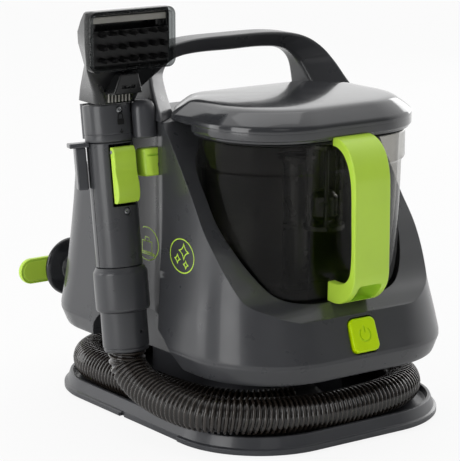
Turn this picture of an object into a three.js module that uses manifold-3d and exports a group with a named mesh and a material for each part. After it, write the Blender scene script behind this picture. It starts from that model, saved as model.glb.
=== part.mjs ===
// A portable spot extractor: a carpet and upholstery washer with two water tanks and a hand tool.
// Millimetres, +Z up, the front faces -Y. Inside the assembly the machine is symmetric about X = 0, its
// base starts at Z = 0 and the hand tool stands on its -X side; the assembly is then moved so that the
// part is centred and its feet stand on Z = 0.

import * as THREE from 'three';
import { mergeVertices } from 'three/addons/utils/BufferGeometryUtils.js';
import Module from 'manifold-3d';

const wasm = await Module();
wasm.setup();

// ---------------------------------------------------------------- driving dimensions
const GAP = 0.3;                    // clearance between pieces that touch
const WALL = 3;                     // moulded wall thickness
const FOOT_HEIGHT = 2;
const TRAY_FLOOR = 8.5;             // the floor that the hose lies on
const RIM_TOP = 14.5;
const WAIST_TOP = 57;
const BODY_BOTTOM = 58;
const DECK = 264;                   // top of the body under the carry handle
const PART_LINE = 66;               // Y where the front shell meets the rear housing
const HOSE_DIAMETER = 32;
const HOSE_LEVEL = TRAY_FLOOR + GAP + HOSE_DIAMETER / 2;

const BASE = { x: -2.5, half: 129, front: -169, back: 158, radius: 82 };
const WAIST = { half: 55, depth: 100, radius: 45 };

// body outline level by level: half width, front and back, front and back corner radius
const BODY_LEVELS = [
  { z: BODY_BOTTOM, half: 118, front: -168, back: 156, frontRadius: 76, backRadius: 60 },
  { z: 74, half: 123.5, front: -173, back: 161, frontRadius: 80, backRadius: 62 },
  { z: 94, half: 120, front: -166, back: 160, frontRadius: 74, backRadius: 62 },
  { z: 124, half: 115, front: -158, back: 158, frontRadius: 70, backRadius: 60 },
  { z: 170, half: 110, front: -154, back: 152, frontRadius: 66, backRadius: 54 },
  { z: 226, half: 109, front: -150, back: 146, frontRadius: 64, backRadius: 54 },
  { z: DECK, half: 109, front: -148, back: 140, frontRadius: 64, backRadius: 54 },
];

// side view (Y, Z) of the body's top edge: low lip, rising wing, deck, sloping back
const TOP_EDGE = [
  [-200, 108], [-160, 109.5], [-149, 117], [-134, 125], [-118, 145], [-103, 165], [-86.5, 185], [-70, 210],
  [-52.6, 234], [-30, DECK], [54, DECK], [68, 250], [88, 212], [104, 204], [200, 198],
];
const LID_TOP = 284;

const TANK = { half: 94, front: -147, back: -47, radius: 64, backRadius: 20, bottom: 115, top: 254 };
const BAY = { half: 97, front: -150, back: -43, radius: 68, backRadius: 22, bottom: 112 };
const LID = { half: 100, front: -149.5, back: -44.6, radius: 66, backRadius: 20 };
const CLEAN = { half: 76, front: 84, back: 151, radius: 14, bottom: 118, top: 202 };
const CLEAN_BAY = { half: 79, front: 81, bottom: 115 };

const WAND_FOOT = new THREE.Vector3(-140, -18.5, 68);
const WAND_LEAN = THREE.MathUtils.degToRad(7.6);
const WAND = { radius: 20, bore: 16.5, cuffTop: 35, sleeveTop: 73, tubeTop: 180, collarTop: 212 };
const TROUGH = { x: -152, y: -2, radius: 48 };       // vertical hollow in the side that holds the wand

const HOOK = { x: 66, z: 91, drumRadius: 13, flangeRadius: 28, reach: 42 };

// the machine's own X = 0 plane and depth centre are shifted so that the whole part is centred
const CENTRE_X = 26;
const CENTRE_Y = -9.8;

// ---------------------------------------------------------------- materials
function plastic(colour, roughness = 0.35) {
  return new THREE.MeshStandardMaterial({ color: colour, roughness, metalness: 0 });
}
const DARK_GREY = plastic(0x55565a);
const MID_GREY = plastic(0x6b6c70);
const BLACK = plastic(0x18191b);
const GREEN = plastic(0xb4d82a);
const BUTTON_GREEN = plastic(0xc8e000);
const SMOKE = new THREE.MeshStandardMaterial({ color: 0x2a2c30, roughness: 0.1, metalness: 0 });
const CLEAR = new THREE.MeshStandardMaterial({ color: 0xd8dcdc, roughness: 0.08, metalness: 0 });
const RUBBER = plastic(0x202122, 0.8);
const STEEL = new THREE.MeshStandardMaterial({ color: 0xa9acae, roughness: 0.3, metalness: 1 });
const WHITE = plastic(0xe8e8e4, 0.5);
const BOARD = plastic(0x1f6b3a, 0.5);
const HOSE_BROWN = plastic(0x3a332c, 0.2);

// ---------------------------------------------------------------- solid helpers
function toSolid(geometry) {
  const plain = geometry.clone();
  plain.deleteAttribute('normal');
  plain.deleteAttribute('uv');
  const merged = mergeVertices(plain, 1e-4);
  const vertProperties = new Float32Array(merged.attributes.position.array);
  const triVerts = new Uint32Array(merged.index.array);
  return new wasm.Manifold(new wasm.Mesh({ numProp: 3, vertProperties, triVerts }));
}

function toGeometry(solid) {
  const mesh = solid.getMesh();
  const geometry = new THREE.BufferGeometry();
  geometry.setAttribute('position', new THREE.BufferAttribute(new Float32Array(mesh.vertProperties), 3));
  geometry.setIndex(new THREE.BufferAttribute(new Uint32Array(mesh.triVerts), 1));
  return geometry;
}

function cut(geometry, ...tools) {
  return toGeometry(tools.reduce((solid, tool) => solid.subtract(toSolid(tool)), toSolid(geometry)));
}

function join(geometry, ...others) {
  return toGeometry(others.reduce((solid, other) => solid.add(toSolid(other)), toSolid(geometry)));
}

function common(geometry, other) {
  return toGeometry(toSolid(geometry).intersect(toSolid(other)));
}

// closed solid through rings of points; all rings have the same count
function throughRings(rings) {
  const count = rings[0].length;
  const positions = rings.flat().flatMap((point) => point.toArray());
  const faces = [];
  for (let level = 0; level < rings.length - 1; level += 1) {
    for (let k = 0; k < count; k += 1) {
      const a = level * count + k;
      const b = level * count + (k + 1) % count;
      faces.push(a, b, b + count, a, b + count, a + count);
    }
  }
  const normal = new THREE.Vector3();
  rings[0].forEach((point, k) => normal.add(point.clone().cross(rings[0][(k + 1) % count])));
  const across = Math.abs(normal.x) > Math.abs(normal.y) && Math.abs(normal.x) > Math.abs(normal.z)
    ? (point) => new THREE.Vector2(point.y, point.z)
    : Math.abs(normal.y) > Math.abs(normal.z)
      ? (point) => new THREE.Vector2(point.z, point.x)
      : (point) => new THREE.Vector2(point.x, point.y);
  const last = (rings.length - 1) * count;
  const outline = rings[0].map(across);
  const backwards = THREE.ShapeUtils.area(outline) < 0;
  const caps = THREE.ShapeUtils.triangulateShape(backwards ? [...outline].reverse() : outline, []);
  for (const cap of caps) {
    const [a, b, c] = cap.map((index) => (backwards ? count - 1 - index : index));
    const [i, j, k] = backwards ? [c, b, a] : [a, b, c];
    faces.push(k, j, i, last + i, last + j, last + k);
  }
  const geometry = new THREE.BufferGeometry();
  geometry.setAttribute('position', new THREE.Float32BufferAttribute(positions, 3));
  geometry.setIndex(signedVolume(positions, faces) < 0 ? flipped(faces) : faces);
  return geometry;
}

function signedVolume(positions, faces) {
  const corner = (index) => new THREE.Vector3(...positions.slice(3 * index, 3 * index + 3));
  let volume = 0;
  for (let k = 0; k < faces.length; k += 3) {
    volume += corner(faces[k]).dot(corner(faces[k + 1]).cross(corner(faces[k + 2])));
  }
  return volume / 6;
}

function flipped(faces) {
  const inward = [];
  for (let k = 0; k < faces.length; k += 3) {
    inward.push(faces[k], faces[k + 2], faces[k + 1]);
  }
  return inward;
}

// rounded rectangle in plan, counter-clockwise, as [x, y] pairs
function roundedPlan({ half, front, back, frontRadius, backRadius, steps = 6, x = 0 }) {
  const corners = [
    [half - frontRadius, front + frontRadius, frontRadius, -90],
    [half - backRadius, back - backRadius, backRadius, 0],
    [backRadius - half, back - backRadius, backRadius, 90],
    [frontRadius - half, front + frontRadius, frontRadius, 180],
  ];
  return corners.flatMap(([cx, cy, radius, start]) => Array.from({ length: steps + 1 }, (_, k) => {
    const angle = THREE.MathUtils.degToRad(start + 90 * k / steps);
    return [x + cx + radius * Math.cos(angle), cy + radius * Math.sin(angle)];
  }));
}

function planLoft(levels) {
  return throughRings(levels.map(({ z, plan }) => plan.map(([x, y]) => new THREE.Vector3(x, y, z))));
}

function planPrism(plan, bottom, top) {
  return planLoft([{ z: bottom, plan }, { z: top, plan }]);
}

// prism with an outline in the side view (Y, Z), from one X to another
function sidePrism(outline, fromX, toX) {
  return throughRings([fromX, toX].map((x) => outline.map(([y, z]) => new THREE.Vector3(x, y, z))));
}

// prism with an outline in the front view (X, Z), from one Y to another
function frontPrism(outline, fromY, toY) {
  return throughRings([fromY, toY].map((y) => outline.map(([x, z]) => new THREE.Vector3(x, y, z))));
}

function block(sizeX, sizeY, sizeZ, x = 0, y = 0, z = 0) {
  return new THREE.BoxGeometry(sizeX, sizeY, sizeZ).translate(x, y, z);
}

function roundBlock(sizeX, sizeY, sizeZ, radius, steps = 3) {
  const plan = roundedPlan({
    half: sizeX / 2, front: -sizeY / 2, back: sizeY / 2, frontRadius: radius, backRadius: radius, steps,
  });
  return planPrism(plan, -sizeZ / 2, sizeZ / 2);
}

// solid of revolution about Z from [radius, z] pairs
function turned(profile, segments = 24) {
  const points = profile.map(([radius, z]) => new THREE.Vector2(radius, z));
  return new THREE.LatheGeometry(points, segments).rotateX(Math.PI / 2);
}

function rod(radius, bottom, top, segments = 24) {
  return turned([[0, bottom], [radius, bottom], [radius, top], [0, top]], segments);
}

function ring(outer, inner, bottom, top, segments = 24) {
  return turned([[inner, bottom], [outer, bottom], [outer, top], [inner, top], [inner, bottom]], segments);
}

function tube(points, radius, sides, steps) {
  const curve = new THREE.CatmullRomCurve3(points.map((point) => new THREE.Vector3(...point)), false, 'centripetal');
  const section = new THREE.Shape();
  section.absarc(0, 0, radius, 0, 2 * Math.PI, false);
  return new THREE.ExtrudeGeometry(section, { steps, extrudePath: curve, curveSegments: sides / 2 });
}

const assembly = new THREE.Group();
assembly.position.set(CENTRE_X, CENTRE_Y, FOOT_HEIGHT);
const wand = new THREE.Group();
wand.position.copy(WAND_FOOT);
wand.rotation.x = -WAND_LEAN;
assembly.add(wand);

function piece(name, geometry, material, parent = assembly) {
  const mesh = new THREE.Mesh(geometry, material);
  mesh.name = name;
  parent.add(mesh);
  return mesh;
}

// ---------------------------------------------------------------- base
function basePlan(inset) {
  const { x, half, front, back, radius } = BASE;
  return roundedPlan({
    x, half: half - inset, front: front + inset, back: back - inset,
    frontRadius: radius - inset, backRadius: radius - inset, steps: 8,
  });
}

function waistPlan(inset) {
  const { half, depth, radius } = WAIST;
  return roundedPlan({
    half: half - inset, front: inset - depth, back: depth - inset,
    frontRadius: radius - inset, backRadius: radius - inset,
  });
}

const PAN_TOP = 2.5;
const LIP_TOP = 5;
{
  const outside = planLoft([
    { z: 0, plan: basePlan(0) },
    { z: LIP_TOP, plan: basePlan(0) },
    { z: LIP_TOP + 0.5, plan: basePlan(2.5) },
    { z: RIM_TOP, plan: basePlan(5.5) },
  ]);
  const channel = planLoft([
    { z: TRAY_FLOOR, plan: basePlan(9.5) },
    { z: RIM_TOP + 1, plan: basePlan(8) },
  ]);
  const waist = planPrism(waistPlan(0), TRAY_FLOOR - 2, WAIST_TOP);
  const underside = planPrism(basePlan(6), -1, TRAY_FLOOR - WALL);
  const waistInside = planPrism(waistPlan(WALL), TRAY_FLOOR - 4, WAIST_TOP + 1);
  piece('base_tray', cut(join(cut(outside, channel), waist), underside, waistInside), MID_GREY);
  piece('base_pan', planPrism(basePlan(6 + GAP), 0, PAN_TOP), BLACK);
}

const FOOT_SPOTS = [[-1, -1], [1, -1], [-1, 1], [1, 1]];
FOOT_SPOTS.forEach(([sideX, sideY], index) => {
  const foot = turned([[0, -FOOT_HEIGHT], [13, -FOOT_HEIGHT], [14, -1], [14, -GAP], [0, -GAP]], 20);
  piece(`rubber_foot_${index + 1}`, foot, RUBBER).position.set(78 * sideX, 115 * sideY, 0);
  const head = turned([[0, -1.7], [2.6, -1.7], [3.4, -1], [3.4, -GAP], [0, -GAP]], 12);
  piece(`base_screw_${index + 1}`, head, STEEL).position.set(50 * sideX, 130 * sideY, 0);
});

// ---------------------------------------------------------------- body
function bodyPlan(level, inset = 0) {
  return roundedPlan({
    half: level.half - inset, front: level.front + inset, back: level.back - inset,
    frontRadius: level.frontRadius - inset, backRadius: level.backRadius - inset, steps: 8,
  });
}

function bodyLoft(inset = 0, fromZ = BODY_BOTTOM, toZ = DECK) {
  const ends = (level, index) => {
    if (index === 0) return fromZ;
    return index === BODY_LEVELS.length - 1 ? toZ : level.z;
  };
  return planLoft(BODY_LEVELS.map((level, index) => ({ z: ends(level, index), plan: bodyPlan(level, inset) })));
}

function aboveTopEdge(drop) {
  const outline = TOP_EDGE.map(([y, z]) => [y, z - drop]);
  return sidePrism([...outline, [200, 400], [-200, 400]], -200, 200);
}

function bayLoft(grow) {
  const plan = (extra) => roundedPlan({
    half: BAY.half + grow - extra, front: BAY.front - grow + extra, back: BAY.back + grow - extra,
    frontRadius: BAY.radius + grow, backRadius: BAY.backRadius + grow,
  });
  return planLoft([{ z: BAY.bottom - grow, plan: plan(5) }, { z: DECK + 20, plan: plan(0) }]);
}

function wandTrough(grow) {
  return rod(TROUGH.radius + grow, BODY_BOTTOM - 20, DECK + 20, 40).translate(TROUGH.x, TROUGH.y, 0);
}

// arched opening low in the side, where the hose bends away under the hand tool
function hoseArch(grow) {
  const outline = [
    [-76, 40], [-74, 56], [-62, 70], [-48, 82], [-30, 91], [-8, 95], [22, 95], [44, 88], [60, 74], [72, 56], [74, 40],
  ].map(([y, z]) => [y * (1 + grow / 76), z === 40 ? z : z + grow]);
  return sidePrism(outline, -150, -96 + grow);
}

const rearZone = block(400, 300, 400, 0, PART_LINE + 150, 150);
const frontZone = block(400, 400, 400, 0, PART_LINE - GAP - 200, 150);

function bodyShell() {
  const outside = cut(bodyLoft(), aboveTopEdge(0), bayLoft(0), wandTrough(0), hoseArch(0));
  const hollow = cut(
    bodyLoft(WALL, BODY_BOTTOM - 2, DECK), aboveTopEdge(WALL), bayLoft(WALL), wandTrough(WALL), hoseArch(WALL),
  );
  return cut(outside, hollow);
}

const shell = bodyShell();
const BUTTON_AT = new THREE.Vector3(0, -166.5, 91.5);
const BUTTON_LEAN = Math.atan2(8, 20);

// pocket through the front wall for the power button
function buttonPocket() {
  const pocket = roundBlock(29.6, 31.6, 30, 6.5);
  return pocket.rotateX(Math.PI / 2 - BUTTON_LEAN).translate(BUTTON_AT.x, BUTTON_AT.y, BUTTON_AT.z);
}

const PORT = { y: -74, radius: 15 };
{
  const port = rod(PORT.radius, BAY.bottom - 10, BAY.bottom + 10).translate(0, PORT.y, 0);
  piece('front_shell', cut(common(shell, frontZone), buttonPocket(), port), DARK_GREY);
}
{
  const { half, front, bottom } = CLEAN_BAY;
  const cleanBay = block(2 * half, 200, 200, 0, front + 100, bottom + 100);
  const depth = 80;
  const middle = front - WALL + depth / 2;
  const height = 94;
  const rise = bottom - WALL + height / 2;
  const floor = block(2 * half + 2 * WALL, depth, WALL, 0, middle, bottom - WALL / 2);
  const wall = block(2 * half + 2 * WALL, WALL, height, 0, front - WALL / 2, rise);
  const sides = [-1, 1].map((side) => block(WALL, depth, height, side * (half + WALL / 2), middle, rise));
  const inside = common(join(floor, wall, ...sides), cut(bodyLoft(1), aboveTopEdge(1)));
  const housing = cut(join(common(shell, rearZone), inside), cleanBay);
  const grille = frontPrism([[-44, 84], [44, 84], [44, 106], [-44, 106]], 120, 200);
  const inlet = rod(8.3, -60, 60).rotateX(Math.PI / 2).translate(0, 170, 70);
  piece('rear_housing', cut(housing, grille, inlet), DARK_GREY);
}
{
  const chassis = planPrism(bodyPlan(BODY_LEVELS[0], WALL + 2), BODY_BOTTOM, BODY_BOTTOM + WALL);
  piece('body_chassis', cut(chassis, hoseArch(WALL + 1), wandTrough(WALL + 1)), BLACK);
}

// ---------------------------------------------------------------- carry handle
// front view (X, Z) of the hoop, right half from the foot to the middle: outer and inner edge,
// and the depth (Y) of its slanted front face and of its back face at each station
const HOOP = [
  { outer: [109, DECK + GAP], inner: [79, DECK + GAP], frontOuter: -29, frontInner: -4, back: 38 },
  { outer: [105, 282], inner: [77, 280], frontOuter: -12, frontInner: 9, back: 38 },
  { outer: [99.5, 299], inner: [73.5, 296], frontOuter: 2, frontInner: 20, back: 39 },
  { outer: [90, 311], inner: [66, 304.5], frontOuter: 9, frontInner: 23, back: 40 },
  { outer: [75, 319.5], inner: [54, 309], frontOuter: 13, frontInner: 24, back: 41 },
  { outer: [48, 324.5], inner: [35, 311], frontOuter: 14.5, frontInner: 24, back: 42 },
  { outer: [0, 325.5], inner: [0, 311], frontOuter: 15, frontInner: 24, back: 42 },
];

function hoopRing({ outer, inner, frontOuter, frontInner, back }, side, inset = 0) {
  const across = new THREE.Vector2(outer[0] - inner[0], outer[1] - inner[1]);
  const thickness = across.length();
  across.divideScalar(thickness);
  const round = Math.min(5, thickness * 0.3);
  const frontAt = (depth) => THREE.MathUtils.lerp(frontInner, frontOuter, depth / thickness) + inset;
  const at = (depth, y) => new THREE.Vector3(
    side * (inner[0] + across.x * depth), y, inner[1] + across.y * depth,
  );
  const near = inset;
  const far = thickness - inset;
  return [
    at(near + round, frontAt(near + round)), at(far - round, frontAt(far - round)), at(far, frontAt(far) + round),
    at(far, back - inset - round), at(far - round, back - inset), at(near + round, back - inset),
    at(near, back - inset - round), at(near, frontAt(near) + round),
  ];
}

function hoop() {
  const right = HOOP.map((station) => hoopRing(station, 1));
  const left = HOOP.slice(0, -1).reverse().map((station) => hoopRing(station, -1));
  return throughRings([...right, ...left]);
}

{
  const recess = frontPrism([[-30, 305], [30, 305], [30, 314.5], [-30, 314.5]], 27.5, 38.5);
  const liner = frontPrism([[-29.5, 311.5], [29.5, 311.5], [29.5, 314], [-29.5, 314]], 28, 38);
  piece('carry_handle', cut(hoop(), recess), DARK_GREY);
  piece('handle_liner', liner, MID_GREY);
}

// ---------------------------------------------------------------- works inside the body
const MOTOR = { y: 26, radius: 40, bottom: 92, top: 168 };
{
  const { y, radius, bottom, top } = MOTOR;
  const body = turned([
    [0, bottom], [radius, bottom], [radius, top - 26], [radius - 8, top - 18], [radius - 8, top], [0, top],
  ]);
  const shaft = rod(4, top - 1, top + 24, 12);
  piece('motor_body', join(body, shaft), STEEL).position.set(0, y, 0);
  piece('motor_mount_ring', ring(radius + 3, radius - 12, bottom - 14, bottom - GAP), RUBBER).position.set(0, y, 0);
  const hub = ring(10, 4 + GAP, 0, 14, 20);
  const disc = ring(34, 6, 0, 3, 32);
  const blades = Array.from({ length: 9 }, (_, k) => (
    block(22, 2, 13, 20, 0, 7).rotateZ(2 * Math.PI * k / 9)
  ));
  const fanPiece = piece('motor_fan', join(hub, disc, ...blades), MID_GREY);
  fanPiece.position.set(0, y, top + 6);
}
{
  const pump = join(block(34, 44, 36, 0, 0, 18), rod(9, -22, 22, 16).rotateY(Math.PI / 2).translate(0, 0, 20));
  piece('water_pump', pump, BLACK).position.set(68, 28, 74);
  const spout = [[0, CLEAN.front + 14, 108], [4, CLEAN.front + 10, 92], [30, 78, 78], [56, 68, 76], [66, 55, 80]];
  piece('solution_tube', tube(spout, 4, 8, 16), CLEAR);
  const air = [[0, -34, 236], [0, -24, 232], [0, -8, 222], [0, 6, 206]];
  piece('suction_duct', tube(air, 15, 12, 8), MID_GREY);
  piece('circuit_board', block(70, 1.6, 48), BOARD).position.set(-30, 76, 150);
  piece('power_switch', block(16, 12, 18), WHITE).position.set(0, BUTTON_AT.y + 26, BUTTON_AT.z - 4);
}

// ---------------------------------------------------------------- power button
{
  const cap = roundBlock(27, 29, 8, 5.5, 4);
  const stem = rod(4, -18, 0, 12);
  const button = piece('power_button', join(cap, stem), BUTTON_GREEN);
  button.position.copy(BUTTON_AT);
  button.rotation.x = Math.PI / 2 - BUTTON_LEAN;
}

// ---------------------------------------------------------------- rear fittings
{
  const slats = Array.from({ length: 6 }, (_, k) => block(84, 3, 1.6, 0, 0, -9 + 3.6 * k));
  const frameBars = [block(2, 4, 21, -42.4, 0, 0), block(2, 4, 21, 42.4, 0, 0), block(2, 4, 21, 0, 0, 0)];
  const rails = [block(86.8, 4, 2, 0, 0, -9.6), block(86.8, 4, 2, 0, 0, 9.6)];
  piece('exhaust_grille', join(rails[0], rails[1], ...frameBars, ...slats), BLACK).position.set(0, 155, 95);
  const grommet = turned([[0, -12], [8, -12], [8, 3], [11, 3.3], [11, 6], [5, 14], [0, 14]], 20);
  piece('cord_inlet_grommet', grommet.rotateX(-Math.PI / 2), RUBBER).position.set(0, 158.3, 70);
}

for (const [side, name] of [[-1, 'left'], [1, 'right']]) {
  const backFace = BODY_LEVELS[1].back + GAP;
  const { drumRadius, flangeRadius, reach } = HOOK;
  const drum = turned([
    [0, 0], [drumRadius + 6, 0], [drumRadius, 4], [drumRadius, 22], [flangeRadius - 3, 26],
    [flangeRadius, 28], [flangeRadius, 31], [0, 31],
  ]).rotateX(-Math.PI / 2);
  const behind = block(80, 60, 80, 0, -30, 0);
  const drumPiece = piece(`${name}_hook_drum`, cut(drum, behind), BLACK);
  drumPiece.position.set(side * HOOK.x, backFace, HOOK.z);
  const tip = rod(reach / 3.5, -2.5, 2.5).rotateX(Math.PI / 2).translate(side * reach, 0, 0);
  const arm = join(block(reach, 5, 2 * reach / 3.5, side * reach / 2, 0, 0), tip);
  const boss = rod(15, -2.5, 2.5).rotateX(Math.PI / 2);
  const armPiece = piece(`${name}_hook_arm`, join(arm, boss), GREEN);
  armPiece.position.set(side * HOOK.x, backFace + 31 + GAP + 2.5, HOOK.z);
}

// ---------------------------------------------------------------- clean water tank
{
  const { half, front, back, radius, bottom, top } = CLEAN;
  const plan = (inset, grow = 0) => roundedPlan({
    half: half - inset, front: front + inset, back: back - inset + grow, frontRadius: radius - inset,
    backRadius: radius - inset, steps: 4,
  });
  const outside = planLoft([
    { z: bottom, plan: plan(2) }, { z: bottom + 3, plan: plan(0, 4) }, { z: 170, plan: plan(0, -1) },
    { z: top - 4, plan: plan(0, -7) }, { z: top, plan: plan(4, -7) },
  ]);
  const inside = planLoft([
    { z: bottom + WALL, plan: plan(4) }, { z: 170, plan: plan(4, -1) }, { z: top - WALL, plan: plan(6, -7) },
  ]);
  const neck = rod(17, top - 6, top + 6);
  const throat = rod(13.5, top - 10, top + 8);
  const outletY = front + 14;
  const outlet = rod(6, bottom - 4, bottom + 6, 16).translate(0, outletY, 0);
  const neckAt = (geometry) => geometry.translate(0, (front + back) / 2 - 2, 0);
  const tank = cut(join(outside, neckAt(neck)), inside, neckAt(throat), outlet);
  piece('clean_tank', tank, SMOKE);
  const cap = turned([[0, 0.5], [12.9, 0.5], [12.9, 6.3], [20, 6.3], [20, 14], [17, 17], [0, 17]]);
  piece('clean_tank_cap', cap, GREEN).position.set(0, (front + back) / 2 - 2, top);
  const valve = turned([[0, -1.8], [5.7, -1.8], [5.7, 6], [3, 9], [0, 9]], 16);
  piece('clean_tank_valve', valve, BLACK).position.set(0, outletY, bottom);
}

// ---------------------------------------------------------------- dirty water tank
function tankPlan(inset) {
  const { half, front, back, radius, backRadius } = TANK;
  return roundedPlan({
    half: half - inset, front: front + inset, back: back - inset,
    frontRadius: radius - inset / 2, backRadius: backRadius - inset / 2,
  });
}

const SEAL_BORE = { y: PORT.y, radius: 12 };
{
  const { bottom, top } = TANK;
  const outside = planLoft([
    { z: bottom, plan: tankPlan(10) }, { z: bottom + 6, plan: tankPlan(5) }, { z: top - 26, plan: tankPlan(2.5) },
    { z: top - 24, plan: tankPlan(0) }, { z: top, plan: tankPlan(0) },
  ]);
  const inside = planLoft([{ z: bottom + WALL, plan: tankPlan(11) }, { z: top + 5, plan: tankPlan(4) }]);
  const drain = rod(SEAL_BORE.radius, bottom - 5, bottom + 5).translate(0, SEAL_BORE.y, 0);
  piece('dirty_tank', cut(outside, inside, drain), SMOKE);
  const riser = ring(SEAL_BORE.radius - GAP, 9, bottom - 2, top - 22).translate(0, SEAL_BORE.y, 0);
  const hood = ring(17, 9, top - 25, top - 22).translate(0, SEAL_BORE.y, 0);
  piece('riser_duct', join(riser, hood), BLACK);
  const seal = ring(PORT.radius - GAP, SEAL_BORE.radius + GAP, BAY.bottom - 5, TANK.bottom - GAP);
  piece('tank_port_seal', seal, RUBBER).position.set(0, PORT.y, 0);
}
{
  const cageY = -112;
  const bars = Array.from({ length: 6 }, (_, k) => (
    rod(2, 176, 246, 8).translate(15, 0, 0).rotateZ(2 * Math.PI * k / 6)
  ));
  const hoops = [ring(18, 12.6, 174, 178), ring(18, 12.6, 244, 248), rod(13, 174, 176)];
  piece('float_cage', join(hoops[0], hoops[1], hoops[2], ...bars), BLACK).position.set(0, cageY, 0);
  const ball = turned([[0, 180], [8, 181.5], [12, 186], [12, 202], [8, 206.5], [0, 208]]);
  piece('float', ball, WHITE).position.set(0, cageY, 0);
}

// strap handle on the front of the dirty tank, drawn in the side view (Y, Z)
const STRAP = { half: 20, thickness: 7, front: -178, bottom: 139, top: 260 };
{
  const { half, thickness, front, bottom, top } = STRAP;
  const outline = [
    [-140, top - 3], [front + 16, top - 1], [front + 6, top - 5], [front, top - 18], [front, bottom + 8],
    [front + 2, bottom - 2], [front + 10, bottom - 11], [-140, bottom - 20],
    [-140, bottom - 9], [front + thickness + 6, bottom - 2], [front + thickness, bottom + 8],
    [front + thickness, top - 20], [front + thickness + 4, top - 11], [front + 19, top - thickness - 3],
    [-140, top - 12],
  ];
  const tankSkin = planLoft([
    { z: TANK.bottom - 5, plan: tankPlan(5 - GAP) }, { z: TANK.top - 26, plan: tankPlan(2.5 - GAP) },
    { z: TANK.top - 24, plan: tankPlan(-GAP) }, { z: TANK.top + 20, plan: tankPlan(-GAP) },
  ]);
  piece('tank_handle', cut(sidePrism(outline, -half, half), tankSkin), GREEN);
}

// ---------------------------------------------------------------- tank lid
function lidPlan(inset) {
  const { half, front, back, radius, backRadius } = LID;
  return roundedPlan({
    half: half - inset, front: front + inset, back: back - inset,
    frontRadius: radius - inset, backRadius: Math.max(backRadius - inset, 4),
  });
}
{
  const rim = TANK.top + 2 * GAP + 1.5;
  const outside = planLoft([
    { z: rim, plan: lidPlan(5) }, { z: rim + 3, plan: lidPlan(1) }, { z: rim + 6, plan: lidPlan(0) },
    { z: rim + 14, plan: lidPlan(0.5) }, { z: rim + 20, plan: lidPlan(4) }, { z: rim + 24, plan: lidPlan(12) },
    { z: LID_TOP, plan: lidPlan(32) },
  ]);
  const inside = planLoft([{ z: rim - 1, plan: lidPlan(17) }, { z: rim + 18, plan: lidPlan(20) }]);
  // above the deck the lid runs back between the feet of the carry handle
  const overhang = (half, back, radius, inset) => {
    const plan = (extra) => roundedPlan({
      half: half - extra, front: extra - 145, back: back - extra, frontRadius: LID.radius - extra,
      backRadius: Math.max(radius - extra, 3),
    });
    return planLoft([
      { z: DECK + 0.6, plan: plan(inset + 2) }, { z: DECK + 3, plan: plan(inset) },
      { z: DECK + 9, plan: plan(inset + 1) }, { z: DECK + 15, plan: plan(inset + 6) },
      { z: LID_TOP - 1, plan: plan(inset + 16) },
    ]);
  };
  const shoulders = overhang(99, -27, 12, 0);
  const tail = overhang(76, 7, 14, 0);
  const tailInside = planPrism(roundedPlan({
    half: 66, front: -42, back: -2, frontRadius: 4, backRadius: 8,
  }), DECK - 1, DECK + 12);
  piece('tank_lid', cut(join(outside, shoulders, tail), inside, tailInside), MID_GREY);
  const sealOuter = planPrism(tankPlan(0.6), TANK.top + GAP, rim - GAP);
  piece('lid_seal', cut(sealOuter, planPrism(tankPlan(3.6), TANK.top - 5, rim + 5)), RUBBER);
}

// ---------------------------------------------------------------- hand tool: the wand
function wandTube() {
  const { radius, bore, sleeveTop, tubeTop } = WAND;
  return ring(radius, bore, sleeveTop + GAP, tubeTop, 32);
}

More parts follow.
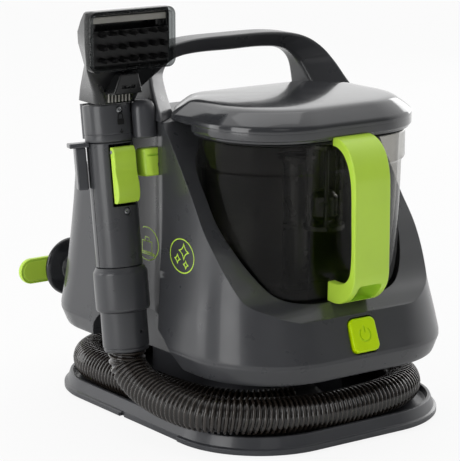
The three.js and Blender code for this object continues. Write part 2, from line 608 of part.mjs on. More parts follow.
const TRIGGER = { half: 12.5, bottom: 127, top: 177 };
const LOW_SCREW = 121;
const HIGH_SCREW = 207;
{
  const { half, bottom, top } = TRIGGER;
  const slot = block(2 * half + 1.2, 40, top - bottom + 3, 0, -20, (top + bottom) / 2);
  const screwHole = rod(2.6, -40, 0, 12).rotateX(Math.PI / 2).translate(0, -40, LOW_SCREW);
  const front = block(200, 100, 500, 0, -50 - GAP / 2, 100);
  const rear = block(200, 100, 500, 0, 50 + GAP / 2, 100);
  piece('wand_front_shell', cut(common(wandTube(), front), slot, screwHole), DARK_GREY, wand);
  piece('wand_rear_shell', common(wandTube(), rear), DARK_GREY, wand);
}
{
  const { radius, bore, cuffTop, sleeveTop, tubeTop, collarTop } = WAND;
  const cuff = turned([
    [bore - 1, 0], [radius - 1, 0], [radius, 3], [radius, cuffTop], [bore - 1, cuffTop], [bore - 1, 0],
  ], 32);
  piece('hose_cuff', cuff, DARK_GREY, wand);
  const sleeve = turned([
    [bore, cuffTop + GAP], [radius + 2.4, cuffTop + GAP], [radius + 3.4, cuffTop + 3], [radius + 3.4, sleeveTop - 4],
    [radius + 1, sleeveTop], [bore, sleeveTop], [bore, cuffTop + GAP],
  ], 32);
  piece('wand_sleeve', sleeve, DARK_GREY, wand);
  const collar = ring(radius + 0.6, bore, tubeTop + GAP, collarTop, 32);
  const screwHole = rod(2.6, -40, 0, 12).rotateX(Math.PI / 2).translate(0, -40, HIGH_SCREW);
  piece('wand_collar', cut(collar, screwHole), DARK_GREY, wand);
  const screws = [[LOW_SCREW, radius], [HIGH_SCREW, radius + 0.6]];
  screws.forEach(([height, skin], index) => {
    const screw = turned([[0, 0], [2.2, 0], [2.2, 3], [0, 3]], 12).rotateX(Math.PI / 2);
    piece(`wand_screw_${index + 1}`, screw, STEEL, wand).position.set(0, -skin + 3.2, height);
  });
  const sideBlock = join(block(9, 16, 36, -2, 0, 159), block(17, 20, 4, -3, 0, 179));
  const sideTurn = 0.42;
  const reach = radius + 4;
  const onSkin = sideBlock.rotateZ(-sideTurn).translate(-reach * Math.cos(sideTurn), reach * Math.sin(sideTurn), 0);
  const skins = [rod(radius + GAP, 100, tubeTop, 32), rod(radius + 0.6 + GAP, tubeTop - GAP, 220, 32)];
  piece('wand_side_block', cut(onSkin, ...skins), MID_GREY, wand);
}
{
  const { half, bottom, top } = TRIGGER;
  const outline = [
    [-17, bottom + 1], [-22, bottom + 1], [-25, bottom + 5], [-25.5, bottom + 20], [-24, top - 14],
    [-23.5, top - 5], [-21, top - 1], [-17, top - 1],
  ];
  const body = sidePrism(outline, -half, half);
  const pinHole = rod(1.8, -30, 30, 12).rotateY(Math.PI / 2).translate(0, -18.8, top - 5);
  piece('spray_trigger', cut(body, pinHole), GREEN, wand);
  const pin = rod(1.5, 1 - half, half - 1, 12).rotateY(Math.PI / 2);
  piece('trigger_pin', pin.translate(0, -18.8, top - 5), STEEL, wand);
  const valve = join(block(12, 9, 34, 0, 0, 0), rod(2.5, -30, 30, 10));
  piece('spray_valve', valve, BLACK, wand).position.set(0, -3, 150);
}

// ---------------------------------------------------------------- hand tool: the nozzle
const HEAD = { x: WAND_FOOT.x + 4, half: 42.5, front: -20, bottom: 311, top: 362, rim: 8 };
// section of the nozzle: a trapezium in plan, wide at the front and narrow at the back
function headRing(z, frontHalf, backHalf, front, back, x = HEAD.x) {
  const round = 3;
  return [
    [frontHalf - round, front], [frontHalf, front + round], [backHalf, back - round], [backHalf - round, back],
    [round - backHalf, back], [-backHalf, back - round], [-frontHalf, front + round], [round - frontHalf, front],
  ].map(([dx, y]) => new THREE.Vector3(x + dx, y, z));
}
{
  const { x: centreX, half, front, bottom, top } = HEAD;
  const neckY = WAND_FOOT.y + Math.tan(WAND_LEAN) * (WAND.collarTop + 2);
  const neckZ = WAND_FOOT.z + WAND.collarTop + 4;
  const outside = throughRings([
    headRing(neckZ, 17, 14, neckY - 19, neckY + 19, WAND_FOOT.x),
    headRing(neckZ + 8, 22, 15, neckY - 22, neckY + 17, WAND_FOOT.x),
    headRing(bottom + 2, half - 1, 24, front, neckY + 2),
    headRing(bottom + 22, half, 34, front, 6),
    headRing(bottom + 32, half, 36.5, front, 3),
    headRing(top - 8, half, 38.5, front, -6),
    headRing(top - 1, half - 2, 39, front, -12),
  ]);
  const mouth = block(2 * half - 9, 10, top - bottom - 10, centreX, front - 1, (top + bottom) / 2);
  const passage = throughRings([
    headRing(neckZ - 5, 12, 10, neckY - 14, neckY + 14, WAND_FOOT.x),
    headRing(neckZ + 10, 17, 11, neckY - 16, neckY + 12, WAND_FOOT.x),
    headRing(bottom + 10, half - 9, 20, front + 12, neckY - 5),
    headRing(top - 25, half - 10, 28, front + 6, -0.5),
    headRing(top - 13, half - 10, 30, front - 2, -6),
  ]);
  piece('nozzle_head', cut(outside, mouth, passage), BLACK);

  const rimOutline = (inset, radius) => roundedPlan({
    half: half - inset, front: bottom + inset, back: top - inset, frontRadius: radius, backRadius: radius,
    steps: 4, x: centreX,
  });
  const rimFront = front - GAP - HEAD.rim;
  const rim = frontPrism(rimOutline(0, 7), rimFront, front - GAP);
  piece('nozzle_hood', cut(rim, frontPrism(rimOutline(3.4, 4), rimFront - 1, front + 1)), CLEAR);

  const plate = frontPrism([
    [centreX - 37, bottom + 5], [centreX + 37, bottom + 5], [centreX + 37, top - 17], [centreX - 37, top - 17],
  ], front - 4, front - 1);
  const tufts = [0, 1, 2].flatMap((row) => Array.from({ length: 7 }, (_, k) => (
    block(6.5, 9, 5.5, centreX + (k - 3) * 10, front - 8, bottom + 10 + 11 * row)
  )));
  piece('bristle_plate', join(plate, ...tufts), BLACK);

  const cover = frontPrism([
    [WAND_FOOT.x - 15, neckZ + 7], [WAND_FOOT.x + 14, neckZ + 7], [WAND_FOOT.x + 10, bottom - 3],
    [WAND_FOOT.x - 8, bottom - 3],
  ], neckY - 36, neckY - 15);
  const clearance = throughRings([
    headRing(neckZ, 17 + GAP, 14, neckY - 19 - GAP, neckY + 19, WAND_FOOT.x),
    headRing(neckZ + 8, 22 + GAP, 15, neckY - 22 - GAP, neckY + 17, WAND_FOOT.x),
    headRing(bottom + 2, half - 1 + GAP, 24, front - GAP, neckY + 2),
  ]);
  piece('spray_tip', cut(cover, clearance), MID_GREY);
}

// ---------------------------------------------------------------- holders for the hand tool
// built upright in the hand tool's own frame, then leaned over with it
function inWandFrame(geometry) {
  return geometry.rotateX(-WAND_LEAN).translate(WAND_FOOT.x, WAND_FOOT.y, WAND_FOOT.z);
}

{
  const bodyBehind = cut(bodyLoft(-GAP), wandTrough(-GAP));
  const toolSpace = inWandFrame(rod(WAND.radius + 1.6, 0, 300, 32));
  const bottom = WAND.tubeTop + 1;
  const top = WAND.collarTop + 2;
  const height = top - bottom;
  const middle = (top + bottom) / 2;
  const post = rod(11, bottom, top, 20).translate(25, -17, 0);
  const web = block(14, 30, height, 28, 0, middle);
  const cradle = cut(rod(26, bottom + 2, top - 1, 32), block(80, 60, 60, 0, -36, middle), block(60, 80, 60, -42, 0, middle));
  const handleLeg = throughRings(HOOP.slice(0, 3).map((station) => hoopRing(station, -1, -GAP)));
  const bracket = inWandFrame(join(cradle, web, post));
  piece('tool_holder_bracket', cut(bracket, bodyBehind, handleLeg, toolSpace), MID_GREY);
  const catchBlock = inWandFrame(roundBlock(26, 20, 24, 8).translate(29, -15, 160));
  piece('tool_clip', cut(catchBlock, bodyBehind, toolSpace), GREEN);
}

// ---------------------------------------------------------------- hose
// middle line of the hose, from the cuff of the hand tool once round the base to its inlet
const HOSE_ROUTE = [
  [-140, -18.6, 67.6], [-140, -20.2, 56], [-139, -35, 44.5], [-137, -60, 37], [-133, -89, 33.5],
  [-124, -115, 32], [-106, -131, 31], [-80, -141, 28.5], [-48, -146, 26], [-12, -148, HOSE_LEVEL],
  [26, -146, HOSE_LEVEL], [60, -137, HOSE_LEVEL], [86, -118, HOSE_LEVEL], [101, -90, HOSE_LEVEL],
  [105, -55, HOSE_LEVEL], [105, -15, HOSE_LEVEL], [105, 25, HOSE_LEVEL], [103, 66, HOSE_LEVEL],
  [94, 99, HOSE_LEVEL], [74, 123, HOSE_LEVEL], [44, 135, HOSE_LEVEL], [8, 137, HOSE_LEVEL],
  [-32, 137, HOSE_LEVEL], [-66, 132, HOSE_LEVEL], [-90, 118, HOSE_LEVEL], [-104, 92, HOSE_LEVEL],
  [-108, 58, HOSE_LEVEL], [-107, 16, HOSE_LEVEL], [-105, -24, HOSE_LEVEL], [-101, -56, HOSE_LEVEL],
  [-91, -82, HOSE_LEVEL], [-74, -102, HOSE_LEVEL], [-50, -113, HOSE_LEVEL], [-36, -116, HOSE_LEVEL],
];
{
  piece('hose', tube(HOSE_ROUTE, HOSE_DIAMETER / 2, 8, 62), HOSE_BROWN);
  const elbow = [
    [-35.6, -116.1, HOSE_LEVEL], [-27, -117.8, HOSE_LEVEL], [-17, -114, HOSE_LEVEL], [-14, -100.4, HOSE_LEVEL],
  ];
  piece('hose_inlet_connector', tube(elbow, HOSE_DIAMETER / 2 - 2, 12, 8), BLACK);
}

export default assembly;
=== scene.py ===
import random
from math import atan2, cos, pi, radians, sin, tan

import bmesh
import bpy
import numpy as np
from mathutils import Matrix, Vector


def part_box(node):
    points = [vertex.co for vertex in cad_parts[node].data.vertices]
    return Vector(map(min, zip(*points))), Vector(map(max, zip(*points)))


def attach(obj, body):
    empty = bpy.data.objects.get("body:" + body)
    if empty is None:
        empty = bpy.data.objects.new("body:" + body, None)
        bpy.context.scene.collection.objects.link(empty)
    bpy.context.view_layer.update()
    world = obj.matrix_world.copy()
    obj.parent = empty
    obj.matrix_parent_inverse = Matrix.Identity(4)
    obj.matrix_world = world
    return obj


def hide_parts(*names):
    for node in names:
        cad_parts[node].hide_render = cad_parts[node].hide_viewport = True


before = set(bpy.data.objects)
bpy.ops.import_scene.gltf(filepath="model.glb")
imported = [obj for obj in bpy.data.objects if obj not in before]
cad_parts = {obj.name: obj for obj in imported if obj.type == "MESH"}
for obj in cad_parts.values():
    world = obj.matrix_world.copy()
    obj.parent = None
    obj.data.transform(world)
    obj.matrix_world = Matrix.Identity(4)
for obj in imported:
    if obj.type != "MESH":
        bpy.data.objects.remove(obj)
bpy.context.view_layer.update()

# Shapes below are in millimetres of the machine's own frame: X = 0 is its plane of symmetry, its front
# faces -Y and the bottom of its base is Z = 0. FRAME_FROM_MACHINE carries them into the frame, in metres.
MM = 0.001
GAP = 0.3
BASE = {"x": -2.5, "half": 129.0, "front": -169.0, "back": 158.0, "radius": 82.0}
TRAY_LOW, TRAY_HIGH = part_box("base_tray")
ORIGIN = Vector((
    (TRAY_LOW.x + TRAY_HIGH.x) / 2 / MM - BASE["x"],
    TRAY_LOW.y / MM - BASE["front"],
    TRAY_LOW.z / MM,
))
FRAME_FROM_MACHINE = Matrix.Scale(MM, 4) @ Matrix.Translation(ORIGIN)


def in_frame(point):
    return FRAME_FROM_MACHINE @ Vector(point)


# ---------------------------------------------------------------- camera
CAMERA_TURN = radians(-35.8)
CAMERA_RISE = radians(12.6)
CAMERA_PLACE = (-1134.3, -1548.8, 580.4)
FOCAL_LENGTHS = 2200 / 460

camera_data = bpy.data.cameras.new("camera")
camera_data.sensor_width = 36
camera_data.sensor_fit = "HORIZONTAL"
camera_data.lens = 36 * FOCAL_LENGTHS
camera_data.clip_end = 20
camera = bpy.data.objects.new("camera", camera_data)
bpy.context.scene.collection.objects.link(camera)
bpy.context.scene.camera = camera
backwards = Vector((
    sin(CAMERA_TURN) * cos(CAMERA_RISE), -cos(CAMERA_TURN) * cos(CAMERA_RISE), sin(CAMERA_RISE),
))
rightwards = Vector((cos(CAMERA_TURN), sin(CAMERA_TURN), 0))
camera.matrix_world = Matrix.Translation(in_frame(CAMERA_PLACE)) @ Matrix((
    rightwards, backwards.cross(rightwards), backwards,
)).transposed().to_4x4()


# ---------------------------------------------------------------- materials
def linear(code):
    """Linear colour of an sRGB hex code."""
    parts = [int(code[k:k + 2], 16) / 255 for k in (0, 2, 4)]
    return [c / 12.92 if c <= 0.04045 else ((c + 0.055) / 1.055) ** 2.4 for c in parts] + [1.0]


def noise_node(nodes, links, scale, detail):
    """Noise over the piece's own coordinates, in metres: scale is about how many features fit in one."""
    place = nodes.new("ShaderNodeTexCoord")
    noise = nodes.new("ShaderNodeTexNoise")
    noise.inputs["Scale"].default_value = scale
    noise.inputs["Detail"].default_value = detail
    links.new(place.outputs["Object"], noise.inputs["Vector"])
    return noise.outputs["Fac"]


def between(nodes, links, factor, low, high):
    """Maps noise, which stays mostly within 0.3 to 0.7, to a range."""
    node = nodes.new("ShaderNodeMapRange")
    node.inputs["From Min"].default_value = 0.3
    node.inputs["From Max"].default_value = 0.7
    node.inputs["To Min"].default_value = low
    node.inputs["To Max"].default_value = high
    links.new(factor, node.inputs["Value"])
    return node.outputs["Result"]


def computed(nodes, links, operation, *values, clamp=False):
    """Result of a math node, whose values are numbers or other nodes' outputs."""
    node = nodes.new("ShaderNodeMath")
    node.operation = operation
    node.use_clamp = clamp
    for entry, value in zip(node.inputs, values):
        if isinstance(value, (int, float)):
            entry.default_value = value
        else:
            links.new(value, entry)
    return node.outputs["Value"]


def mixed(nodes, links, share, first, second):
    """Shader between two others, where a share of 1 is all of the second."""
    node = nodes.new("ShaderNodeMixShader")
    for entry, source in zip(node.inputs, (share, first, second)):
        links.new(source, entry)
    return node.outputs["Shader"]


def toward_back(nodes, links, coordinates, rise, start, end, low=0.0, high=1.0):
    """Eases from low to high along one fixed direction of the room, away from where this script's own
    camera was set up. It's a constant, so the light stays where it is when the view changes."""
    place = nodes.new("ShaderNodeTexCoord")
    behind = nodes.new("ShaderNodeVectorMath")
    behind.operation = "DOT_PRODUCT"
    behind.inputs[1].default_value = (-sin(CAMERA_TURN), cos(CAMERA_TURN), rise)
    links.new(place.outputs[coordinates], behind.inputs[0])
    eased = nodes.new("ShaderNodeMapRange")
    eased.interpolation_type = "SMOOTHSTEP"
    for entry, value in (("From Min", start), ("From Max", end), ("To Min", low), ("To Max", high)):
        eased.inputs[entry].default_value = value
    links.new(behind.outputs["Value"], eased.inputs["Value"])
    return eased.outputs["Result"]


def shaded(nodes, links, colour, variation):
    """The colour, lighter and darker in soft patches of a few centimetres."""
    node = nodes.new("ShaderNodeHueSaturation")
    node.inputs["Color"].default_value = colour
    patches = between(nodes, links, noise_node(nodes, links, 28, 2), 1 - variation, 1 + variation)
    links.new(patches, node.inputs["Value"])
    return node.outputs["Color"]


def surface_normal(nodes, links, grain, depth, rounding):
    """Fine moulding grain over edges that catch the light as a small radius does."""
    bevel = nodes.new("ShaderNodeBevel")
    bevel.samples = 6
    bevel.inputs["Radius"].default_value = rounding * MM
    bump = nodes.new("ShaderNodeBump")
    bump.inputs["Strength"].default_value = 0.3
    bump.inputs["Distance"].default_value = depth * MM
    links.new(noise_node(nodes, links, grain, 3), bump.inputs["Height"])
    links.new(bevel.outputs["Normal"], bump.inputs["Normal"])
    return bump.outputs["Normal"]


def new_material(name):
    material = bpy.data.materials.new(name)
    material.use_nodes = True
    nodes, links = material.node_tree.nodes, material.node_tree.links
    return material, nodes, links, nodes["Principled BSDF"]


def solid_finish(name, code, roughness, grain=900, depth=0.006, rounding=1.2, metallic=0.0, coat=0.0,
                 variation=0.04, specular=0.5):
    material, nodes, links, skin = new_material(name)
    links.new(shaded(nodes, links, linear(code), variation), skin.inputs["Base Color"])
    uneven = between(nodes, links, noise_node(nodes, links, 60, 4), roughness * 0.88, roughness * 1.12)
    links.new(uneven, skin.inputs["Roughness"])
    skin.inputs["Metallic"].default_value = metallic
    skin.inputs["Specular IOR Level"].default_value = specular
    skin.inputs["Coat Weight"].default_value = coat
    skin.inputs["Coat Roughness"].default_value = 0.06
    links.new(surface_normal(nodes, links, grain, depth, rounding), skin.inputs["Normal"])
    return material


def see_through_finish(name, code, tint, roughness, body=0.12, edge=0.0):
    """Clear moulding: light passes straight through and is tinted, and the skin reflects by angle.
    body is the share that never passes, and edge how much more stops where the skin is seen on edge."""
    material, nodes, links, skin = new_material(name)
    links.new(shaded(nodes, links, linear(code), 0.03), skin.inputs["Base Color"])
    uneven = between(nodes, links, noise_node(nodes, links, 60, 3), roughness * 0.8, roughness * 1.2)
    links.new(uneven, skin.inputs["Roughness"])
    through = nodes.new("ShaderNodeBsdfTransparent")
    through.inputs["Color"].default_value = tint
    rim = nodes.new("ShaderNodeLayerWeight")
    rim.inputs["Blend"].default_value = 0.5
    facing = rim.outputs["Facing"]
    grazing = computed(nodes, links, "POWER", facing, 5.0)
    mirrored = computed(nodes, links, "MULTIPLY_ADD", grazing, 0.9, 0.012)
    gloss = nodes.new("ShaderNodeBsdfGlossy")
    links.new(uneven, gloss.inputs["Roughness"])
    clear = mixed(nodes, links, mirrored, through.outputs["BSDF"], gloss.outputs["BSDF"])
    stopped = computed(nodes, links, "MULTIPLY_ADD", facing, edge, body, clamp=True)
    surface = mixed(nodes, links, stopped, clear, skin.outputs["BSDF"])
    links.new(surface, nodes["Material Output"].inputs["Surface"])
    return material


def hose_finish():
    """Smoky brown hose: the crest of each rib is painted paler than the thin wall between the ribs, a painted
    highlight on each crest and painted shade in each valley.
    """
    material, nodes, links, skin = new_material("hose_brown")
    crest = nodes.new("ShaderNodeAttribute")
    crest.attribute_name = "crest"
    rib_highlight_and_valley_shade = nodes.new("ShaderNodeMix")
    rib_highlight_and_valley_shade.data_type = "RGBA"
    # A is painted shade in the valleys between the ribs, B a painted highlight on each crest
    rib_highlight_and_valley_shade.inputs["A"].default_value = linear("120e0b")
    rib_highlight_and_valley_shade.inputs["B"].default_value = linear("332d28")
    links.new(crest.outputs["Fac"], rib_highlight_and_valley_shade.inputs["Factor"])
    links.new(rib_highlight_and_valley_shade.outputs["Result"], skin.inputs["Base Color"])
    uneven = between(nodes, links, noise_node(nodes, links, 120, 3), 0.12, 0.22)
    links.new(uneven, skin.inputs["Roughness"])
    skin.inputs["Coat Weight"].default_value = 0.6
    skin.inputs["Coat Roughness"].default_value = 0.08
    links.new(surface_normal(nodes, links, 500, 0.02, 0.4), skin.inputs["Normal"])
    return material


FINISH = {
    "dark_grey": solid_finish("dark_grey", "444548", 0.3, coat=0.25),
    "mid_grey": solid_finish("mid_grey", "48494d", 0.32, coat=0.25),
    "black": solid_finish("black", "0f1011", 0.28, coat=0.3),
    "green": solid_finish("green", "d2fb52", 0.34, coat=0.15, variation=0.03),
    "button_green": solid_finish("button_green", "d8ff00", 0.34, variation=0.03, specular=0.25),
    "smoked_clear": see_through_finish("smoked_clear", "060708", (0.76, 0.755, 0.74, 1), 0.06, body=0.02),
    "clear": see_through_finish("clear", "1a1c1d", (0.72, 0.74, 0.74, 1), 0.05, body=0.1, edge=0.8),
    "rubber": solid_finish("rubber", "1a1b1c", 0.75, grain=1600, depth=0.05),
    "steel": solid_finish("steel", "a4a6a8", 0.28, grain=700, metallic=1.0),
    "circuit_board": solid_finish("circuit_board", "1f6b3a", 0.45, grain=400),
    "hose_brown": hose_finish(),
}
LID_GLOSS = solid_finish("lid_gloss", "3a3b3e", 0.14, coat=0.7, depth=0.003)
BRISTLE = solid_finish("bristle", "0b0b0c", 0.42, grain=2500, rounding=0.2)
EMBLEM = solid_finish("emblem_grey", "0b0b0c", 0.4, rounding=0.3)
# pale grey: on the neck ribs it is a painted highlight along each rib, on the mouth lip a plain pale band
RIB_HIGHLIGHT_AND_LIP_GREY = solid_finish("rib_highlight_and_lip_grey", "a9a79f", 0.25, coat=0.5)
DISC_FACE = solid_finish("disc_face", "26272a", 0.2, coat=0.6)


# ---------------------------------------------------------------- outlines
def catmull(points, per_span=8, closed=False):
    """Smooth line through points, by centripetal Catmull-Rom spans."""
    points = [Vector(p) for p in points]
    count = len(points)
    if closed:
        ring = [points[k % count] for k in range(-1, count + 2)]
    else:
        ring = [2 * points[0] - points[1]] + points + [2 * points[-1] - points[-2]]
    line = []
    for k in range(1, len(ring) - 2):
        p0, p1, p2, p3 = ring[k - 1:k + 3]
        d0, d1, d2 = ((b - a).length ** 0.5 or 1e-6 for a, b in ((p0, p1), (p1, p2), (p2, p3)))
        t1 = ((p1 - p0) / d0 - (p2 - p0) / (d0 + d1) + (p2 - p1) / d1) * d1
        t2 = ((p2 - p1) / d1 - (p3 - p1) / (d1 + d2) + (p3 - p2) / d2) * d1
        for step in range(per_span):
            t = step / per_span
            line.append(
                p1 * (2 * t**3 - 3 * t**2 + 1) + t1 * (t**3 - 2 * t**2 + t)
                + p2 * (3 * t**2 - 2 * t**3) + t2 * (t**3 - t**2)
            )
    if not closed:
        line.append(points[-1])
    return line


def rounded_plan(half, front, back, front_radius, back_radius, z=0.0, x=0.0, steps=16, between=0):
    """Rounded rectangle in plan, counter-clockwise, at height z, with points between its corners if asked."""
    corners = (
        (half - front_radius, front + front_radius, front_radius, -90),
        (half - back_radius, back - back_radius, back_radius, 0),
        (back_radius - half, back - back_radius, back_radius, 90),
        (front_radius - half, front + front_radius, front_radius, 180),
    )
    arcs = [
        [Vector((x + cx + r * cos(radians(start + 90 * k / steps)),
                 cy + r * sin(radians(start + 90 * k / steps)), z)) for k in range(steps + 1)]
        for cx, cy, r, start in corners
    ]
    ring = []
    for arc, following in zip(arcs, arcs[1:] + arcs[:1]):
        ring += arc
        ring += [arc[-1].lerp(following[0], k / (between + 1)) for k in range(1, between + 1)]
    return ring


def scaled(ring, share, z):
    """The ring shrunk towards its own middle, at another height."""
    middle = sum(ring, Vector()) / len(ring)
    return [Vector((*(middle + (p - middle) * share).xy, z)) for p in ring]


# ---------------------------------------------------------------- solids
def through_rings(rings, capped=True, looped=False):
    """Closed mesh through rings of the same count."""
    mesh = bmesh.new()
    rows = [[mesh.verts.new(p) for p in ring] for ring in rings]
    count = len(rows[0])
    pairs = list(zip(rows, rows[1:]))
    if looped:
        pairs.append((rows[-1], rows[0]))
    for low, high in pairs:
        for k in range(count):
            mesh.faces.new((low[k], low[(k + 1) % count], high[(k + 1) % count], high[k]))
    if capped and not looped:
        mesh.faces.new(rows[0][::-1])
        mesh.faces.new(rows[-1])
    bmesh.ops.recalc_face_normals(mesh, faces=mesh.faces)
    return mesh


def stacked(ring, *levels):
    """Solid through the outlines that a ring function gives, called with each level's values."""
    return through_rings([ring(*level) for level in levels])


def smooth_side(points, per_span):
    """Smooth outline through (y, z) points."""
    return [(p.y, p.z) for p in catmull([Vector((0, y, z)) for y, z in points], per_span)]


def bend(before, corner, after, radius, steps):
    """Points of a smooth bend that begins and ends at a radius from the corner."""
    start = corner + (before - corner).normalized() * radius
    end = corner + (after - corner).normalized() * radius
    points = []
    for step in range(steps + 1):
        t = step / steps
        points.append(start * (1 - t)**2 + corner * 2 * t * (1 - t) + end * t**2)
    return points


def side_prism(outline, from_x, to_x):
    return through_rings([[Vector((x, y, z)) for y, z in outline] for x in (from_x, to_x)])


def front_prism(outline, from_y, to_y):
    return through_rings([[Vector((x, y, z)) for x, z in outline] for y in (from_y, to_y)])


def turned(profile, segments=48):
    """Solid of revolution about Z from (radius, z) pairs; a profile that starts off the axis is a ring."""
    def place(radius, z, k):
        angle = 2 * pi * k / segments
        return Vector((radius * cos(angle), radius * sin(angle), z))
    if profile[0][0] > 0:
        return through_rings([[place(r, z, k) for r, z in profile] for k in range(segments)], looped=True)
    return through_rings([[place(r, z, k) for k in range(segments)] for r, z in profile if r > 0])


def rod(radius, bottom, top, segments=48):
    return turned([(0, bottom), (radius, bottom), (radius, top), (0, top)], segments)


def block(size_x, size_y, size_z, x=0.0, y=0.0, z=0.0):
    mesh = bmesh.new()
    bmesh.ops.create_cube(mesh, size=1)
    mesh.transform(Matrix.Translation((x, y, z)) @ Matrix.Diagonal((size_x, size_y, size_z, 1)))
    return mesh


def round_block(size_x, size_y, size_z, radius):
    plan = rounded_plan(size_x / 2, -size_y / 2, size_y / 2, radius, radius, steps=8)
    return through_rings([[p + Vector((0, 0, z)) for p in plan] for z in (-size_z / 2, size_z / 2)])


def softened(mesh, width, segments=3, angle=32):
    """Rounds every edge that is sharper than the angle."""
    edges = [e for e in mesh.edges if len(e.link_faces) == 2 and e.calc_face_angle(0) > radians(angle)]
    bmesh.ops.bevel(
        mesh, geom=edges, offset=width, segments=segments, profile=0.5, affect="EDGES", clamp_overlap=True,
    )
    return mesh


def moved(mesh, x=0.0, y=0.0, z=0.0):
    mesh.transform(Matrix.Translation((x, y, z)))
    return mesh


def turned_by(mesh, angle, axis):
    mesh.transform(Matrix.Rotation(angle, 4, axis))
    return mesh


def as_object(mesh, name="tool"):
    data = bpy.data.meshes.new(name)
    mesh.to_mesh(data)
    mesh.free()
    made = bpy.data.objects.new(name, data)
    bpy.context.scene.collection.objects.link(made)
    return made


def combined(mesh, operation, *tools):
    """The mesh after a boolean with each tool; the tools are used up."""
    target = as_object(mesh, "target")
    helpers = [as_object(tool) for tool in tools]
    for helper in helpers:
        change = target.modifiers.new("change", "BOOLEAN")
        change.operation = operation
        change.solver = "MANIFOLD"
        change.object = helper
    evaluated = target.evaluated_get(bpy.context.evaluated_depsgraph_get())
    result = bmesh.new()
    result.from_mesh(evaluated.to_mesh())
    evaluated.to_mesh_clear()
    for used in [target, *helpers]:
        data = used.data
        bpy.data.objects.remove(used)
        bpy.data.meshes.remove(data)
    bmesh.ops.remove_doubles(result, verts=result.verts, dist=0.002)
    return result


def cut(mesh, *tools):
    return combined(mesh, "DIFFERENCE", *tools)


def joined(mesh, *others):
    return combined(mesh, "UNION", *others)


def gathered(*meshes):
    """Several loose bodies as one mesh."""
    result = bmesh.new()
    for mesh in meshes:
        data = bpy.data.meshes.new("part")
        mesh.to_mesh(data)
        mesh.free()
        result.from_mesh(data)
        bpy.data.meshes.remove(data)
    return result


# a piece with more faces than this keeps its plain smooth normals
WEIGHTED_FACES = 60000


def piece(name, mesh, finish, body, replaces=(), angle=38):
    """Turns a mesh in machine millimetres into a piece of the object that rides on a body."""
    mesh.transform(FRAME_FROM_MACHINE)
    made = as_object(mesh, name)
    made.data.materials.append(FINISH[finish] if isinstance(finish, str) else finish)
    made.data.shade_smooth()
    made.data.set_sharp_from_angle(angle=radians(angle))
    if len(made.data.polygons) < WEIGHTED_FACES:
        weights = made.modifiers.new("weighted_normals", "WEIGHTED_NORMAL")
        weights.keep_sharp = True
    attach(made, body)
    if replaces:
        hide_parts(*replaces)
    return made


# ---------------------------------------------------------------- hose
HOSE_DIAMETER = 32.0
LEVEL = 8.5 + GAP + HOSE_DIAMETER / 2
HOSE_ROUTE = [
    (-140, -18.6, 67.6), (-140, -20.2, 56), (-139, -35, 44.5), (-137, -60, 37), (-133, -89, 33.5),
    (-124, -115, 32), (-106, -131, 31), (-80, -141, 28.5), (-48, -146, 26), (-12, -148, LEVEL),
    (26, -146, LEVEL), (60, -137, LEVEL), (86, -118, LEVEL), (101, -90, LEVEL), (105, -55, LEVEL),
    (105, -15, LEVEL), (105, 25, LEVEL), (103, 66, LEVEL), (94, 99, LEVEL), (74, 123, LEVEL),
    (44, 135, LEVEL), (8, 137, LEVEL), (-32, 137, LEVEL), (-66, 132, LEVEL), (-90, 118, LEVEL),
    (-104, 92, LEVEL), (-108, 58, LEVEL), (-107, 16, LEVEL), (-105, -24, LEVEL), (-101, -56, LEVEL),
    (-91, -82, LEVEL), (-74, -102, LEVEL), (-50, -113, LEVEL), (-36, -116, LEVEL),
]
RIB_PITCH = 4.7
RIB_STEPS = 8


def evenly(line, spacing):
    """The line resampled to equal spacing."""
    points = np.array([list(p) for p in line])
    along = np.concatenate([[0], np.cumsum(np.linalg.norm(np.diff(points, axis=0), axis=1))])
    count = int(round(along[-1] / spacing)) + 1
    at = np.linspace(0, along[-1], count)
    return [Vector([np.interp(s, along, points[:, k]) for k in range(3)]) for s in at], along[-1]


def rib_height(phase):
    """0 in the thin wall between ribs to 1 on the rounded crest."""
    return max(0.0, min(1.0, 0.5 + 0.95 * cos(2 * pi * phase)))


def ribbed_tube(line, radius, depth, sides=32):
    """Tube with helical ribs, closed at both ends; gives the mesh and how near each vertex is to a crest."""
    tangents = [(b - a).normalized() for a, b in zip(line, line[1:])]
    tangents.append(tangents[-1])
    across = tangents[0].orthogonal().normalized()
    rings, crests = [], []
    for k, point in enumerate(line):
        across = (across - tangents[k] * across.dot(tangents[k])).normalized()
        up = tangents[k].cross(across)
        ring = []
        for side in range(sides):
            angle = 2 * pi * side / sides
            height = rib_height(k / RIB_STEPS + side / sides)
            crests.append(height)
            ring.append(point + (across * cos(angle) + up * sin(angle)) * (radius - depth * (1 - height)))
        rings.append(ring)
    return through_rings(rings), crests


route, hose_length = evenly(catmull(HOSE_ROUTE, 24), RIB_PITCH / RIB_STEPS)
hose_mesh, hose_crests = ribbed_tube(route, HOSE_DIAMETER / 2, 1.9)
hose = piece("vacuum_hose", hose_mesh, "hose_brown", "body", ["hose"], angle=180)
# rib height per vertex, which picks the hose's painted highlight on each crest and painted shade between the
# ribs
crest_layer = hose.data.attributes.new("crest", "FLOAT", "POINT")
crest_layer.data.foreach_set("value", hose_crests)


# ---------------------------------------------------------------- base
def base_ring(inset, z):
    radius = BASE["radius"] - inset
    return rounded_plan(
        BASE["half"] - inset, BASE["front"] + inset, BASE["back"] - inset, radius, radius, z, BASE["x"], 28,
    )


WAIST = {"half": 55, "reach": 100, "radius": 45, "bottom": 7, "top": 57}
FOOT_AT = (78, 115)
PAN_SCREW_AT = (50, 130)


def waist_ring(inset, z):
    radius = WAIST["radius"] - inset
    return rounded_plan(
        WAIST["half"] - inset, inset - WAIST["reach"], WAIST["reach"] - inset, radius, radius, z,
    )


